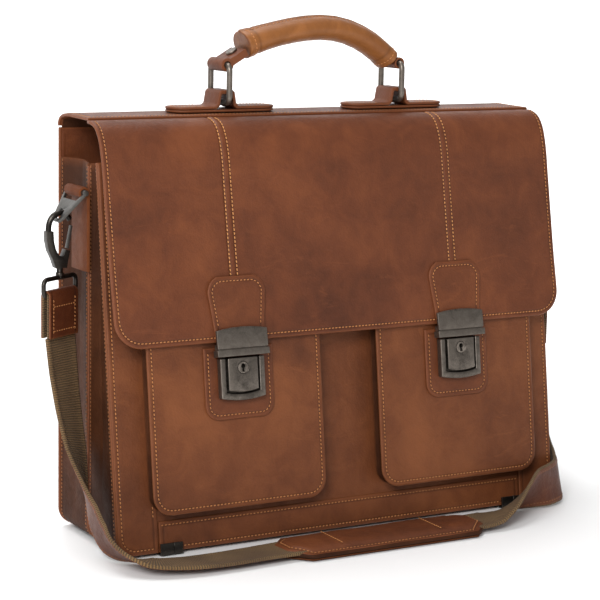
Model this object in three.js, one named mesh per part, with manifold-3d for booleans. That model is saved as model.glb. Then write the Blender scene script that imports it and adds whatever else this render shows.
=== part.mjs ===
// A two-pocket leather briefcase with a folding top, a flap with hasp locks, a carrying
// handle on two rings and a shoulder strap on snap hooks. Millimetres, +Z up, the front
// faces -Y. The bag stands on z = 0.

import * as THREE from 'three';
import { mergeVertices } from 'three/addons/utils/BufferGeometryUtils.js';
import Module from 'manifold-3d';

const wasm = await Module();
wasm.setup();

// ---- driving dimensions -------------------------------------------------------------

const BAG_Y = 4.95; // the bag's divider plane stands this far behind the origin
const HALF_W = 205; // half the body's width
const BACK_Y = 57.2; // outside of the back panel
const FRONT_Y = -57; // outside of the front panel at the floor
const FRONT_TILT = Math.atan(41 / 301); // the front leans back this much
const LEATHER = 2.6; // doubled and stitched panel leather
const GAP = 0.3; // clearance between separate pieces
const CORNER_R = 15; // bottom corners of the panels
const GUSSET_INSET = 1.3; // the gussets lie this far inside the panels' edges
const GUSSET_T = 2.2;
const GUSSET_TOP = 299;
const PANEL_BACK_TOP = 322; // where the back panel meets the top panel
const DIVIDER_T = 2.4;
const DIVIDER_TOP = 297;
const FRONT_TOP = 303.8; // up the slope

const STRIP_IN = 170; // inner edge of the front's side strips
const STRIP_T = 1.6;
const BAND_H = 27;
const PANEL_LIFT = 2.2; // the front panel's lower edge, up the slope
const CLIP_X = 160;
const CLIP_W = 19;
const CLIP_H = 9.5;

const POCKET_IN = 26;
const POCKET_OUT = 179;
const POCKET_LOW = 32;
const POCKET_TOP = 172;
const POCKET_D = 15.6; // from the front panel to the pocket's outside
const POCKET_FRONT_T = 2.4;
const POCKET_R = 16;

const LOCK_X = 101.5; // locks, tabs and flap stitching lie at plus and minus this
const PATCH_W = 61;
const PATCH_LOW = 101;
const PATCH_TOP = 158;
const PATCH_T = 2;
const CASE_W = 38.6;
const CASE_LOW = 116;
const CASE_TOP = 149.4;
const CASE_D = 6.2;
const CASE_FLOOR_T = 2.4;
const RECESS_W = 29.6;
const PLATE_W = 25.8;
const PLATE_T = 1.8;
const KEY_R = 4.6;

const FLAP_LOW_Z = 163;
const FLAP_LOW_Y = -56.3;
const FLAP_HALF_W = 206;
const FLAP_R = 22;
const FLAP_TILT = Math.atan(11.8 / 55);
const TAB_T = 2;
const HASP_W = 44;
const HASP_LOW = -11.2;
const HASP_TOP = 11.2;

const RING_X = 80.5;
const RING_Y = 22; // the handle's plane
const RING_LOW = 341.5;
const RING_TOP = 371.5;
const RING_HALF = 16;
const RING_WIRE_R = 2.4;
const KEEPER_LEN = 94;
const KEEPER_W = 25;
const KEEPER_LOW = 334.5;
const KEEPER_T = 2;
// the grip's middle line, as x and z: it sits to the right of the rings' middle
const GRIP_LINE = [[-61.5, 386.6], [-48, 390.5], [-30, 395], [-10, 398.5], [10, 400], [30, 398], [48, 392],
  [63, 383.8], [75.5, 373.9]];

const SIDE_X = 210; // the hanger's axis
const SIDE_Y = 9;
const SIDE_Z = 277;
const PLATE_LEAN = THREE.MathUtils.degToRad(37); // the ring plate hangs outward
const HOOK_X = 224;
const CLAW_WIRE_R = 2.3;
const PLATE_HALF = 17.9;
// the swivel loops' turn about the upright, from the bag's depth direction
const LOOP_TURNS = {
  left: THREE.MathUtils.degToRad(-60),
  right: 0,
};
const LOOP_HALF = 20.4;
const LOOP_TOP = 211;
const LOOP_LOW = 198;
const STRAP_W = 37;
const STRAP_T = 4.6;
const PAD_LEN = 185;
const PAD_W = 52;

// ---- materials ----------------------------------------------------------------------

function material(color, roughness, metalness) {
  return new THREE.MeshStandardMaterial({ color, roughness, metalness });
}

const COGNAC = material(0x9a5a33, 0.55, 0);
const EDGE_TAN = material(0xb9834f, 0.6, 0);
const DARK_LEATHER = material(0x4f2c1c, 0.7, 0);
const PEWTER = material(0x75736a, 0.45, 1);
const GUNMETAL = material(0x4c4b47, 0.4, 1);
const BOARD = material(0x6b5a44, 0.8, 0);
const WEBBING = material(0x7a5f36, 0.9, 0);

// ---- geometry helpers ---------------------------------------------------------------

// the profile's first axis runs along Y, its second along Z, the depth along X
const ALONG_X = new THREE.Matrix4().makeBasis(
  new THREE.Vector3(0, 1, 0),
  new THREE.Vector3(0, 0, 1),
  new THREE.Vector3(1, 0, 0),
);

// the outline's first axis runs along X, its second along Z, the depth towards -Y
const TOWARDS_FRONT = new THREE.Matrix4().makeBasis(
  new THREE.Vector3(1, 0, 0),
  new THREE.Vector3(0, 0, 1),
  new THREE.Vector3(0, -1, 0),
);

function extrude(shape, from, to, matrix, curveSegments = 6) {
  const geometry = new THREE.ExtrudeGeometry(shape, {
    depth: to - from,
    bevelEnabled: false,
    curveSegments,
  });
  geometry.translate(0, 0, from);
  if (matrix) geometry.applyMatrix4(matrix);
  return geometry;
}

function polygon(points) {
  return new THREE.Shape(points.map(([a, b]) => new THREE.Vector2(a, b)));
}

// a rectangle with radii for its low-left, low-right, high-right and high-left corners
function roundedRect(x0, y0, x1, y1, radii) {
  const [r0, r1, r2, r3] = radii;
  const shape = new THREE.Shape();
  shape.moveTo(x0 + r0, y0);
  shape.lineTo(x1 - r1, y0);
  if (r1) shape.absarc(x1 - r1, y0 + r1, r1, -Math.PI / 2, 0, false);
  shape.lineTo(x1, y1 - r2);
  if (r2) shape.absarc(x1 - r2, y1 - r2, r2, 0, Math.PI / 2, false);
  shape.lineTo(x0 + r3, y1);
  if (r3) shape.absarc(x0 + r3, y1 - r3, r3, Math.PI / 2, Math.PI, false);
  shape.lineTo(x0, y0 + r0);
  if (r0) shape.absarc(x0 + r0, y0 + r0, r0, Math.PI, Math.PI * 1.5, false);
  return shape;
}

function circle(x, y, r) {
  const shape = new THREE.Shape();
  shape.absarc(x, y, r, 0, Math.PI * 2, false);
  return shape;
}

// a block with its sides square to the axes
function block(x0, x1, y0, y1, z0, z1) {
  const geometry = new THREE.BoxGeometry(x1 - x0, y1 - y0, z1 - z0);
  geometry.translate((x0 + x1) / 2, (y0 + y1) / 2, (z0 + z1) / 2);
  return geometry;
}

// a rod between two heights along its own Z, moved and turned by a matrix
function rod(radius, low, high, matrix, sides = 16) {
  const geometry = new THREE.CylinderGeometry(radius, radius, high - low, sides);
  geometry.rotateX(Math.PI / 2);
  geometry.translate(0, 0, (low + high) / 2);
  if (matrix) geometry.applyMatrix4(matrix);
  return geometry;
}

function toManifold(geometry) {
  const bare = geometry.clone();
  bare.deleteAttribute('normal');
  bare.deleteAttribute('uv');
  const merged = mergeVertices(bare, 1e-4);
  const mesh = new wasm.Mesh({
    numProp: 3,
    vertProperties: new Float32Array(merged.attributes.position.array),
    triVerts: new Uint32Array(merged.index.array),
  });
  return new wasm.Manifold(mesh);
}

function toGeometry(manifold) {
  const mesh = manifold.getMesh();
  const geometry = new THREE.BufferGeometry();
  geometry.setAttribute('position', new THREE.BufferAttribute(new Float32Array(mesh.vertProperties), 3));
  geometry.setIndex(new THREE.BufferAttribute(new Uint32Array(mesh.triVerts), 1));
  geometry.computeVertexNormals();
  return geometry;
}

function join(...geometries) {
  return toGeometry(geometries.map(toManifold).reduce((a, b) => a.add(b)));
}

function cut(geometry, ...tools) {
  return toGeometry(tools.map(toManifold).reduce((a, b) => a.subtract(b), toManifold(geometry)));
}

function common(a, b) {
  return toGeometry(toManifold(a).intersect(toManifold(b)));
}

// a sheet whose outside follows the points, drawn clockwise as seen along +X, so that
// its thickness lies on the right-hand side of the way the points go
function sheetShape(points, thickness) {
  const inner = points.map((point, i) => {
    const before = points[Math.max(i - 1, 0)];
    const after = points[Math.min(i + 1, points.length - 1)];
    const length = Math.hypot(after[0] - before[0], after[1] - before[1]);
    const nx = (after[1] - before[1]) / length;
    const ny = -(after[0] - before[0]) / length;
    return [point[0] + nx * thickness, point[1] + ny * thickness];
  });
  return polygon([...points, ...inner.reverse()]);
}

// a closed body through equal rings of points, with flat ends
function loft(rings) {
  const count = rings[0].length;
  const positions = rings.flat().flatMap((p) => [p.x, p.y, p.z]);
  const index = [];
  for (let i = 0; i < rings.length - 1; i += 1) {
    for (let j = 0; j < count; j += 1) {
      const a = i * count + j;
      const b = i * count + ((j + 1) % count);
      index.push(a, b, a + count);
      index.push(b, b + count, a + count);
    }
  }
  const last = (rings.length - 1) * count;
  for (let j = 1; j < count - 1; j += 1) {
    index.push(0, j + 1, j);
    index.push(last, last + j, last + j + 1);
  }
  const geometry = new THREE.BufferGeometry();
  geometry.setAttribute('position', new THREE.BufferAttribute(new Float32Array(positions), 3));
  geometry.setIndex(index);
  geometry.computeVertexNormals();
  return geometry;
}

// a flat band along a smooth line through route points: each holds a place and then the
// direction that the band's width points in there
function band(route, width, thickness, steps) {
  const places = route.map((p) => new THREE.Vector3(p[0], p[1], p[2]));
  const curve = new THREE.CatmullRomCurve3(places, false, 'centripetal');
  const rings = [];
  for (let i = 0; i <= steps; i += 1) {
    const t = i / steps;
    const at = curve.getPoint(t);
    const along = curve.getTangent(t);
    const k = Math.min(Math.floor(t * (route.length - 1)), route.length - 2);
    const f = t * (route.length - 1) - k;
    const blend = (a, b) => a + (b - a) * f;
    const side = new THREE.Vector3(
      blend(route[k][3], route[k + 1][3]),
      blend(route[k][4], route[k + 1][4]),
      blend(route[k][5], route[k + 1][5]),
    );
    side.addScaledVector(along, -side.dot(along)).normalize();
    const up = new THREE.Vector3().crossVectors(along, side).normalize();
    const w = width / 2;
    const h = thickness / 2;
    const corners = [[-w, -h * 0.6], [-w + h * 0.6, -h], [w - h * 0.6, -h], [w, -h * 0.6],
      [w, h * 0.6], [w - h * 0.6, h], [-w + h * 0.6, h], [-w, h * 0.6]];
    rings.push(corners.map(([a, b]) => at.clone().addScaledVector(side, a).addScaledVector(up, b)));
  }
  return loft(rings);
}

const bag = new THREE.Group();
bag.position.y = BAG_Y;

// pieces on the leaning front are placed in this group: X across, Z up the slope and
// -Y out of the front panel's outside
const front = new THREE.Group();
front.position.set(0, FRONT_Y, 0);
front.rotation.x = -FRONT_TILT;
bag.add(front);

// pieces on the flap's lower part: Z up the leaf from its bottom edge, -Y out of it
const flapFace = new THREE.Group();
flapFace.position.set(0, FLAP_LOW_Y, FLAP_LOW_Z);
flapFace.rotation.x = -FLAP_TILT;
bag.add(flapFace);

function add(parent, name, geometry, look) {
  const mesh = new THREE.Mesh(geometry, look);
  mesh.name = name;
  parent.add(mesh);
  return mesh;
}

const SIDES = [['left', -1], ['right', 1]];

// mirrors a range of x to the side wanted
function across(side, a, b) {
  return side < 0 ? [-b, -a] : [a, b];
}

// ---- body ---------------------------------------------------------------------------

function addPanels() {
  const radii = [CORNER_R, CORNER_R, 0, 0];
  const back = roundedRect(-HALF_W, 0, HALF_W, PANEL_BACK_TOP, radii);
  add(bag, 'back_panel', extrude(back, -BACK_Y, LEATHER - BACK_Y, TOWARDS_FRONT), COGNAC);
  const middle = roundedRect(-HALF_W, 0, HALF_W, DIVIDER_TOP, radii);
  add(bag, 'divider', extrude(middle, -DIVIDER_T / 2, DIVIDER_T / 2, TOWARDS_FRONT), EDGE_TAN);
  const face = roundedRect(-HALF_W, PANEL_LIFT, HALF_W, FRONT_TOP, radii);
  add(front, 'front_panel', extrude(face, -LEATHER, 0, TOWARDS_FRONT), COGNAC);
}

// the strip that makes a compartment's sides and bottom, from y0 to y1
function gussetStrip(y0, y1) {
  const w = HALF_W - GUSSET_INSET;
  const r = CORNER_R - GUSSET_INSET;
  const low = GUSSET_INSET;
  const outer = extrude(roundedRect(-w, low, w, GUSSET_TOP, [r, r, 0, 0]), -y1, -y0, TOWARDS_FRONT);
  const t = GUSSET_T;
  const hollow = roundedRect(-w + t, low + t, w - t, GUSSET_TOP + 10, [r - t, r - t, 0, 0]);
  return cut(outer, extrude(hollow, -y1 - 5, -y0 + 5, TOWARDS_FRONT));
}

function addGussets() {
  const inner = DIVIDER_T / 2 + GAP;
  add(bag, 'rear_gusset', gussetStrip(inner, BACK_Y - LEATHER - GAP), DARK_LEATHER);
  // everything in front of the front panel's inside is cut away
  const beyond = block(-300, 300, -200, LEATHER + GAP, -100, 500);
  beyond.rotateX(-FRONT_TILT);
  beyond.translate(0, FRONT_Y, 0);
  add(bag, 'front_gusset', cut(gussetStrip(FRONT_Y - 5, -inner), beyond), DARK_LEATHER);
}

function addFrontTrim() {
  const skin = [GAP, GAP + STRIP_T];
  for (const [name, side] of SIDES) {
    const [x0, x1] = across(side, STRIP_IN, HALF_W - GAP);
    const radii = side < 0 ? [CORNER_R, 0, 0, 0] : [0, CORNER_R, 0, 0];
    const strip = roundedRect(x0, PANEL_LIFT, x1, FRONT_TOP - GAP, radii);
    add(front, `side_strip_${name}`, extrude(strip, ...skin, TOWARDS_FRONT), COGNAC);
  }
  const edge = STRIP_IN - GAP;
  const low = roundedRect(-edge, PANEL_LIFT, edge, BAND_H, [0, 0, 0, 0]);
  add(front, 'bottom_band', extrude(low, ...skin, TOWARDS_FRONT), COGNAC);
}

// bent plate feet that wrap the front's bottom edge, each with an upright groove
function addFootClips() {
  const w0 = STRIP_T + 2 * GAP;
  const w1 = w0 + 1.6;
  const profile = polygon([[2, 0.4], [2, 1.8], [-w0, 1.8], [-w0, CLIP_H], [-w1, CLIP_H], [-w1, 0.4]]);
  for (const [name, side] of SIDES) {
    const x = side * CLIP_X;
    const plate = extrude(profile, x - CLIP_W / 2, x + CLIP_W / 2, ALONG_X);
    const groove = block(x + 1.6, x + 2.6, -w1 - 1, -w1 + 0.6, -1, CLIP_H + 1);
    add(front, `foot_clip_${name}`, cut(plate, groove), GUNMETAL);
  }
}

function addPockets() {
  const frontAt = POCKET_D - POCKET_FRONT_T;
  const inset = 2;
  for (const [name, side] of SIDES) {
    const [x0, x1] = across(side, POCKET_IN, POCKET_OUT);
    const r = POCKET_R;
    const face = roundedRect(x0, POCKET_LOW, x1, POCKET_TOP, [r, r, 0, 0]);
    add(front, `pocket_front_${name}`, extrude(face, frontAt, POCKET_D, TOWARDS_FRONT), COGNAC);
    const near = STRIP_T + 2 * GAP;
    const far = frontAt - GAP;
    const s = r - inset;
    const wall = roundedRect(x0 + inset, POCKET_LOW + inset, x1 - inset, POCKET_TOP - 1, [s, s, 0, 0]);
    const q = s - GUSSET_T;
    const rim = inset + GUSSET_T;
    const room = roundedRect(x0 + rim, POCKET_LOW + rim, x1 - rim, POCKET_TOP + 9, [q, q, 0, 0]);
    const solid = extrude(wall, near, far, TOWARDS_FRONT);
    const hollow = extrude(room, near - 5, far + 5, TOWARDS_FRONT);
    add(front, `pocket_gusset_${name}`, cut(solid, hollow), DARK_LEATHER);
  }
}

// ---- locks --------------------------------------------------------------------------

// an outline with a bottom edge that bulges down by `bulge`
function bulged(x, width, low, high, bulge) {
  const w = width / 2;
  const shape = new THREE.Shape();
  shape.moveTo(x - w, high);
  shape.lineTo(x - w, low + bulge);
  shape.quadraticCurveTo(x, low - bulge, x + w, low + bulge);
  shape.lineTo(x + w, high);
  shape.closePath();
  return shape;
}

// a round head over a narrow slot
function keyhole(x, z) {
  const head = extrude(circle(x, z + 1.2, 1.9), 0, 60, TOWARDS_FRONT);
  return join(head, block(x - 0.9, x + 0.9, -60, 0, z - 3.4, z + 1.2));
}

function addLocks() {
  const patchAt = POCKET_D + GAP;
  const caseAt = patchAt + PATCH_T + GAP;
  const caseFront = caseAt + CASE_D;
  const plateFront = caseFront + 0.6;
  const keyZ = 141.5;
  for (const [name, side] of SIDES) {
    const x = side * LOCK_X;
    const p = PATCH_W / 2;
    const patch = roundedRect(x - p, PATCH_LOW, x + p, PATCH_TOP, [12, 12, 0, 0]);
    add(front, `lock_patch_${name}`, extrude(patch, patchAt, patchAt + PATCH_T, TOWARDS_FRONT), COGNAC);
    const shell = extrude(bulged(x, CASE_W, CASE_LOW, CASE_TOP, 2.2), caseAt, caseFront, TOWARDS_FRONT);
    const recess = bulged(x, RECESS_W, CASE_LOW + 5, CASE_TOP + 5, 1.8);
    const room = extrude(recess, caseAt + CASE_FLOOR_T, caseFront + 5, TOWARDS_FRONT);
    add(front, `lock_case_${name}`, cut(shell, room), PEWTER);
    const press = bulged(x, PLATE_W, CASE_LOW + 6.6, CASE_TOP - 0.4, 1.6);
    const slab = extrude(press, plateFront - PLATE_T, plateFront, TOWARDS_FRONT);
    const bore = extrude(circle(x, keyZ, KEY_R + GAP), 0, 60, TOWARDS_FRONT);
    add(front, `push_plate_${name}`, cut(slab, bore), PEWTER);
    const barrel = extrude(circle(x, keyZ, KEY_R), plateFront - PLATE_T, plateFront, TOWARDS_FRONT);
    add(front, `key_barrel_${name}`, cut(barrel, keyhole(x, keyZ)), PEWTER);
  }
}

// ---- top and flap -------------------------------------------------------------------

function addTop() {
  // from the hinge line on the back, over the bend and forward to the lapped edge
  const outside = [[58.4, 322.6], [58.2, 326], [55.6, 330], [50.5, 332.6], [41, 334], [27, 333.8],
    [-0.2, 333.6]];
  const sheet = sheetShape([...outside].reverse(), 2.4);
  add(bag, 'top_panel', extrude(sheet, -HALF_W, HALF_W, ALONG_X), COGNAC);
  add(bag, 'top_stiffener', block(-150, 150, 6, 40, 327.4, 330.6), BOARD);
}

function addFlap() {
  const outside = [[-0.9, 331.6], [-8, 331], [-16, 327.5], [-22.5, 319.5], [-28, 304.5], [-33.2, 278],
    [-39, 247], [-44.5, 218], [FLAP_LOW_Y, FLAP_LOW_Z]];
  const sheet = extrude(sheetShape([...outside].reverse(), LEATHER), -FLAP_HALF_W, FLAP_HALF_W, ALONG_X);
  const outline = roundedRect(-FLAP_HALF_W, FLAP_LOW_Z - 1, FLAP_HALF_W, 360, [FLAP_R, FLAP_R, 0, 0]);
  add(bag, 'flap', common(sheet, extrude(outline, -40, 120, TOWARDS_FRONT)), COGNAC);
}

// the tab is widest near its rounded top and narrows down into the hasp
function tabShape(x) {
  const shape = new THREE.Shape();
  shape.moveTo(x - 21.5, 3);
  shape.lineTo(x - 25.5, 38);
  shape.quadraticCurveTo(x - 26, 51, x - 12, 51);
  shape.lineTo(x + 12, 51);
  shape.quadraticCurveTo(x + 26, 51, x + 25.5, 38);
  shape.lineTo(x + 21.5, 3);
  shape.closePath();
  return shape;
}

function haspSolid(x) {
  const w = HASP_W / 2;
  const at = TAB_T + 2 * GAP;
  const plate = new THREE.Shape();
  plate.moveTo(x - w, -5.2);
  plate.lineTo(x + w, -5.2);
  plate.lineTo(x + w, HASP_TOP - 2.2);
  plate.quadraticCurveTo(x, HASP_TOP + 2.2, x - w, HASP_TOP - 2.2);
  plate.closePath();
  const face = extrude(plate, at, at + 2.6, TOWARDS_FRONT);
  const neck = block(x - w + 0.8, x + w - 0.8, -at - 1.8, 2, HASP_LOW + 0.4, -1.4);
  const lip = block(x - w - 0.6, x + w + 0.6, -at - 3.2, 2, HASP_LOW, -6);
  return join(face, neck, lip);
}

function addFlapFittings() {
  for (const [name, side] of SIDES) {
    const x = side * LOCK_X;
    add(flapFace, `flap_tab_${name}`, extrude(tabShape(x), GAP, GAP + TAB_T, TOWARDS_FRONT), COGNAC);
    add(flapFace, `hasp_${name}`, haspSolid(x), PEWTER);
  }
}

// ---- handle -------------------------------------------------------------------------

function stadium(x, halfLength, halfWidth) {
  const r = halfWidth;
  const shape = new THREE.Shape();
  shape.absarc(x + halfLength - r, RING_Y, r, -Math.PI / 2, Math.PI / 2, false);
  shape.absarc(x - halfLength + r, RING_Y, r, Math.PI / 2, Math.PI * 1.5, false);
  shape.closePath();
  return shape;
}

function keeperStrap(x) {
  const low = KEEPER_LOW + KEEPER_T + GAP;
  const profile = polygon([
    [x - 50, low], [x - 9, low], [x - 6.2, low + 2.4], [x - 4.6, 348.6], [x + 4.6, 348.6],
    [x + 6.2, low + 2.4],
    [x + 9, low], [x + 50, low], [x + 50, low + 2.2], [x + 11, low + 2.2], [x + 8.6, low + 4],
    [x + 7, 350], [x + 5.2, 351.8], [x - 5.2, 351.8], [x - 7, 350], [x - 8.6, low + 4],
    [x - 11, low + 2.2], [x - 50, low + 2.2],
  ]);
  const y0 = RING_Y - KEEPER_W / 2;
  const arch = extrude(profile, -y0 - KEEPER_W, -y0, TOWARDS_FRONT);
  return common(arch, extrude(stadium(x, KEEPER_LEN / 2, KEEPER_W / 2), low - 5, 360));
}

function ringSolid(x) {
  const outer = RING_WIRE_R;
  const z0 = RING_LOW;
  const z1 = RING_TOP;
  const r = 4.5;
  const loop = (grow) => roundedRect(
    RING_Y - RING_HALF - grow, z0 - grow, RING_Y + RING_HALF + grow, z1 + grow, Array(4).fill(r + grow),
  );
  const sizes = [[0.42, 1], [0.8, 0.62], [1, 0.3]];
  // three stacked frames make a wire with an eight-sided look
  const frames = sizes.map(([depth, spread]) => {
    const solid = extrude(loop(outer * spread), x - outer * depth, x + outer * depth, ALONG_X, 4);
    const hole = extrude(loop(-outer * spread), x - 10, x + 10, ALONG_X, 4);
    return cut(solid, hole);
  });
  return join(...frames);
}

function gripSolid() {
  const rings = [];
  const steps = 16;
  const points = GRIP_LINE.map(([x, z]) => new THREE.Vector3(x, RING_Y, z));
  const line = new THREE.CatmullRomCurve3(points, false, 'centripetal');
  for (let i = 0; i <= steps; i += 1) {
    const t = i / steps;
    const centre = line.getPoint(t);
    const along = line.getTangent(t);
    const normal = new THREE.Vector3(-along.z, 0, along.x);
    const flare = 1 + 0.2 * Math.max(0, 1 - t / 0.25) ** 2;
    const ring = [];
    for (let j = 0; j < 14; j += 1) {
      const a = (j / 14) * Math.PI * 2;
      const wide = Math.cos(a) * 14.6;
      const up = Math.sin(a) * 9.9 * flare;
      ring.push(centre.clone().addScaledVector(normal, up).add(new THREE.Vector3(0, wide, 0)));
    }
    rings.push(ring);
  }
  return loft(rings);
}

// a place on the band that climbs from a ring towards the grip: u along it, v out of it
function onBand(side, u, v) {
  const a = THREE.MathUtils.degToRad(side < 0 ? 30 : 142);
  const x = side * RING_X + u * Math.cos(a) - v * Math.sin(a);
  return [x, RING_TOP + u * Math.sin(a) + v * Math.cos(a)];
}

// a leather band folded round the ring's top and reaching into the grip's end; the
// right one is short, because the grip's end hangs over that ring
function gripLoop(side) {
  const reach = [-RING_Y - KEEPER_W / 2, -RING_Y + KEEPER_W / 2];
  const eye = onBand(side, 0, 0);
  const outer = extrude(circle(...eye, side < 0 ? 5.4 : 4.7), ...reach, TOWARDS_FRONT, 8);
  const inner = extrude(circle(...eye, 3.1), -50, 50, TOWARDS_FRONT);
  if (side > 0) return cut(outer, inner);
  const corners = [[2, -3], [20, -3], [20, 3], [2, 3]];
  const layers = polygon(corners.map(([u, v]) => onBand(side, u, v)));
  const body = join(outer, extrude(layers, ...reach, TOWARDS_FRONT));
  return cut(body, inner, bandPin(side, 2.3, -9, 9));
}

// a round pin through the band
function bandPin(side, radius, from, to) {
  const [x, z] = onBand(side, 13.5, 0);
  const lean = THREE.MathUtils.degToRad(-30);
  const place = new THREE.Matrix4().makeTranslation(x, RING_Y, z);
  place.multiply(new THREE.Matrix4().makeRotationY(lean));
  return rod(radius, from, to, place, 16);
}

// a shank through the left band with a flat head on each face
function bandRivet() {
  const head = 3 + GAP;
  const shank = bandPin(-1, 2, -head - 1, head + 1);
  const outerHead = bandPin(-1, 4.8, head, head + 1.8);
  const innerHead = bandPin(-1, 4.8, -head - 1.8, -head);
  return join(shank, outerHead, innerHead);
}

function addHandle() {
  for (const [name, side] of SIDES) {
    const x = side * RING_X;
    const base = extrude(stadium(x, KEEPER_LEN / 2, KEEPER_W / 2 + 1), KEEPER_LOW, KEEPER_LOW + KEEPER_T);
    add(bag, `keeper_base_${name}`, base, COGNAC);
    add(bag, `keeper_strap_${name}`, keeperStrap(x), COGNAC);
    add(bag, `handle_ring_${name}`, ringSolid(x), PEWTER);
    add(bag, `handle_loop_${name}`, gripLoop(side), COGNAC);
  }
  add(bag, 'handle_rivet', bandRivet(), PEWTER);
  add(bag, 'handle_grip', gripSolid(), COGNAC);
}

// ---- strap hangers ------------------------------------------------------------------

// all drawn for the left side, where X grows towards the bag; the right side is the
// same group turned half a turn about the upright through the hanger's middle
function ringTab() {
  const plate = block(-207.8, -205.4, -14.5, 14.5, 216, 277);
  const roll = extrude(circle(-SIDE_X, SIDE_Z, 4.6), -13.9, 13.9, TOWARDS_FRONT, 5);
  const body = join(plate, roll);
  return cut(body, extrude(circle(-SIDE_X, SIDE_Z, 2.7), -30, 30, TOWARDS_FRONT, 5));
}

function ringPlate() {
  const w = PLATE_HALF;
  const outline = polygon([[-w, -1.5], [-w, 1.5], [w, 1.5], [w, -1.5], [8.4, -25], [5, -28.5],
    [-5, -28.5], [-8.4, -25]]);
  const sheet = extrude(outline, -1.1, 1.1, ALONG_X);
  const v = w - 3.1;
  const gap = polygon([[-v, 6], [v, 6], [v, -3], [v - 2.6, -8.4], [2.6 - v, -8.4], [-v, -3]]);
  const opening = extrude(gap, -9, 9, ALONG_X);
  const slot = extrude(roundedRect(-4.2, -25.9, 4.2, -17.4, [2, 2, 2, 2]), -9, 9, ALONG_X);
  const bar = rod(2.2, -w, w, new THREE.Matrix4().makeRotationX(Math.PI / 2), 12);
  const plate = join(cut(sheet, opening, slot), bar);
  plate.rotateY(PLATE_LEAN);
  plate.translate(-SIDE_X, 0, SIDE_Z);
  return plate;
}

function hookSolid() {
  const claw = [[-9.1, 243], [-9.4, 248], [-8.6, 253.6], [-5.4, 258.6], [0, 260.6], [5.2, 259], [8.3, 255.4]];
  const points = claw.map(([x, z]) => new THREE.Vector3(x - HOOK_X, 0, z));
  const line = new THREE.CatmullRomCurve3(points, false, 'centripetal');
  const rings = [];
  const steps = 14;
  for (let i = 0; i <= steps; i += 1) {
    const p = line.getPoint(i / steps);
    const along = line.getTangent(i / steps);
    const outward = new THREE.Vector3(along.z, 0, -along.x);
    const ring = [];
    for (let j = 0; j < 10; j += 1) {
      const b = (j / 10) * Math.PI * 2;
      const way = outward.clone().multiplyScalar(Math.cos(b)).add(new THREE.Vector3(0, Math.sin(b), 0));
      ring.push(p.clone().addScaledVector(way, CLAW_WIRE_R));
    }
    rings.push(ring);
  }
  // the solid lower body that carries the claw and the swivel
  const low = [[-4.6, 218.5], [4.6, 218.5], [5.6, 224], [7.4, 231.6], [3.6, 232.6], [1.4, 227.4], [-1.6, 228],
    [-4.4, 233], [-6, 239.5], [-6.4, 247], [-11.8, 247], [-11.9, 240], [-10.2, 232], [-6.8, 225]];
  const root = extrude(polygon(low.map(([x, z]) => [x - HOOK_X, z])), -3.4, 3.4, TOWARDS_FRONT);
  const bore = rod(3, 210, 224.5, new THREE.Matrix4().makeTranslation(-HOOK_X, 0, 0), 12);
  return cut(join(loft(rings), root), bore);
}

function hookGate() {
  const leaf = [[4.6, 233.4], [7, 232.8], [10.4, 250.4], [8.2, 251]];
  return extrude(polygon(leaf.map(([x, z]) => [x - HOOK_X, z])), -1.2, 1.2, TOWARDS_FRONT);
}

function swivelLoop(turn) {
  const r = 1.7;
  const loop = (grow) => roundedRect(
    -LOOP_HALF - grow, LOOP_LOW - grow, LOOP_HALF + grow, LOOP_TOP + grow, Array(4).fill(3 + grow),
  );
  const wire = cut(extrude(loop(r), -r, r, ALONG_X, 3), extrude(loop(-r), -9, 9, ALONG_X, 3));
  const post = rod(2.5, LOOP_TOP, 224, null, 12);
  const geometry = join(wire, post);
  geometry.rotateZ(turn);
  geometry.translate(-HOOK_X, 0, 0);
  return geometry;
}

// strap leather and webbing folded round the loop's lower bar and stitched below it
function strapEnd(turn, low) {
  const outer = roundedRect(-4.6, low, 4.6, LOOP_LOW + 5, [0, 0, 4.4, 4.4]);
  const body = extrude(outer, -STRAP_W / 2, STRAP_W / 2, null);
  body.applyMatrix4(new THREE.Matrix4().makeBasis(
    new THREE.Vector3(1, 0, 0),
    new THREE.Vector3(0, 0, 1),
    new THREE.Vector3(0, -1, 0),
  ));
  const eye = extrude(circle(0, LOOP_LOW, 3.2), -40, 40, TOWARDS_FRONT, 5);
  const geometry = cut(body, eye);
  geometry.rotateZ(turn);
  geometry.translate(-HOOK_X, 0, 0);
  return geometry;
}

function addHangers() {
  for (const [name, side] of SIDES) {
    const hanger = new THREE.Group();
    hanger.position.y = SIDE_Y;
    if (side > 0) hanger.rotation.z = Math.PI;
    bag.add(hanger);
    const turn = LOOP_TURNS[name];
    add(hanger, `ring_tab_${name}`, ringTab(), COGNAC);
    add(hanger, `ring_plate_${name}`, ringPlate(), PEWTER);
    add(hanger, `snap_hook_${name}`, hookSolid(), PEWTER);
    add(hanger, `hook_gate_${name}`, hookGate(), PEWTER);
    add(hanger, `swivel_loop_${name}`, swivelLoop(turn), PEWTER);
    add(hanger, `strap_end_${name}`, strapEnd(turn, name === 'left' ? 166 : 128), WEBBING);
  }
}

// ---- shoulder strap -----------------------------------------------------------------

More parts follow.
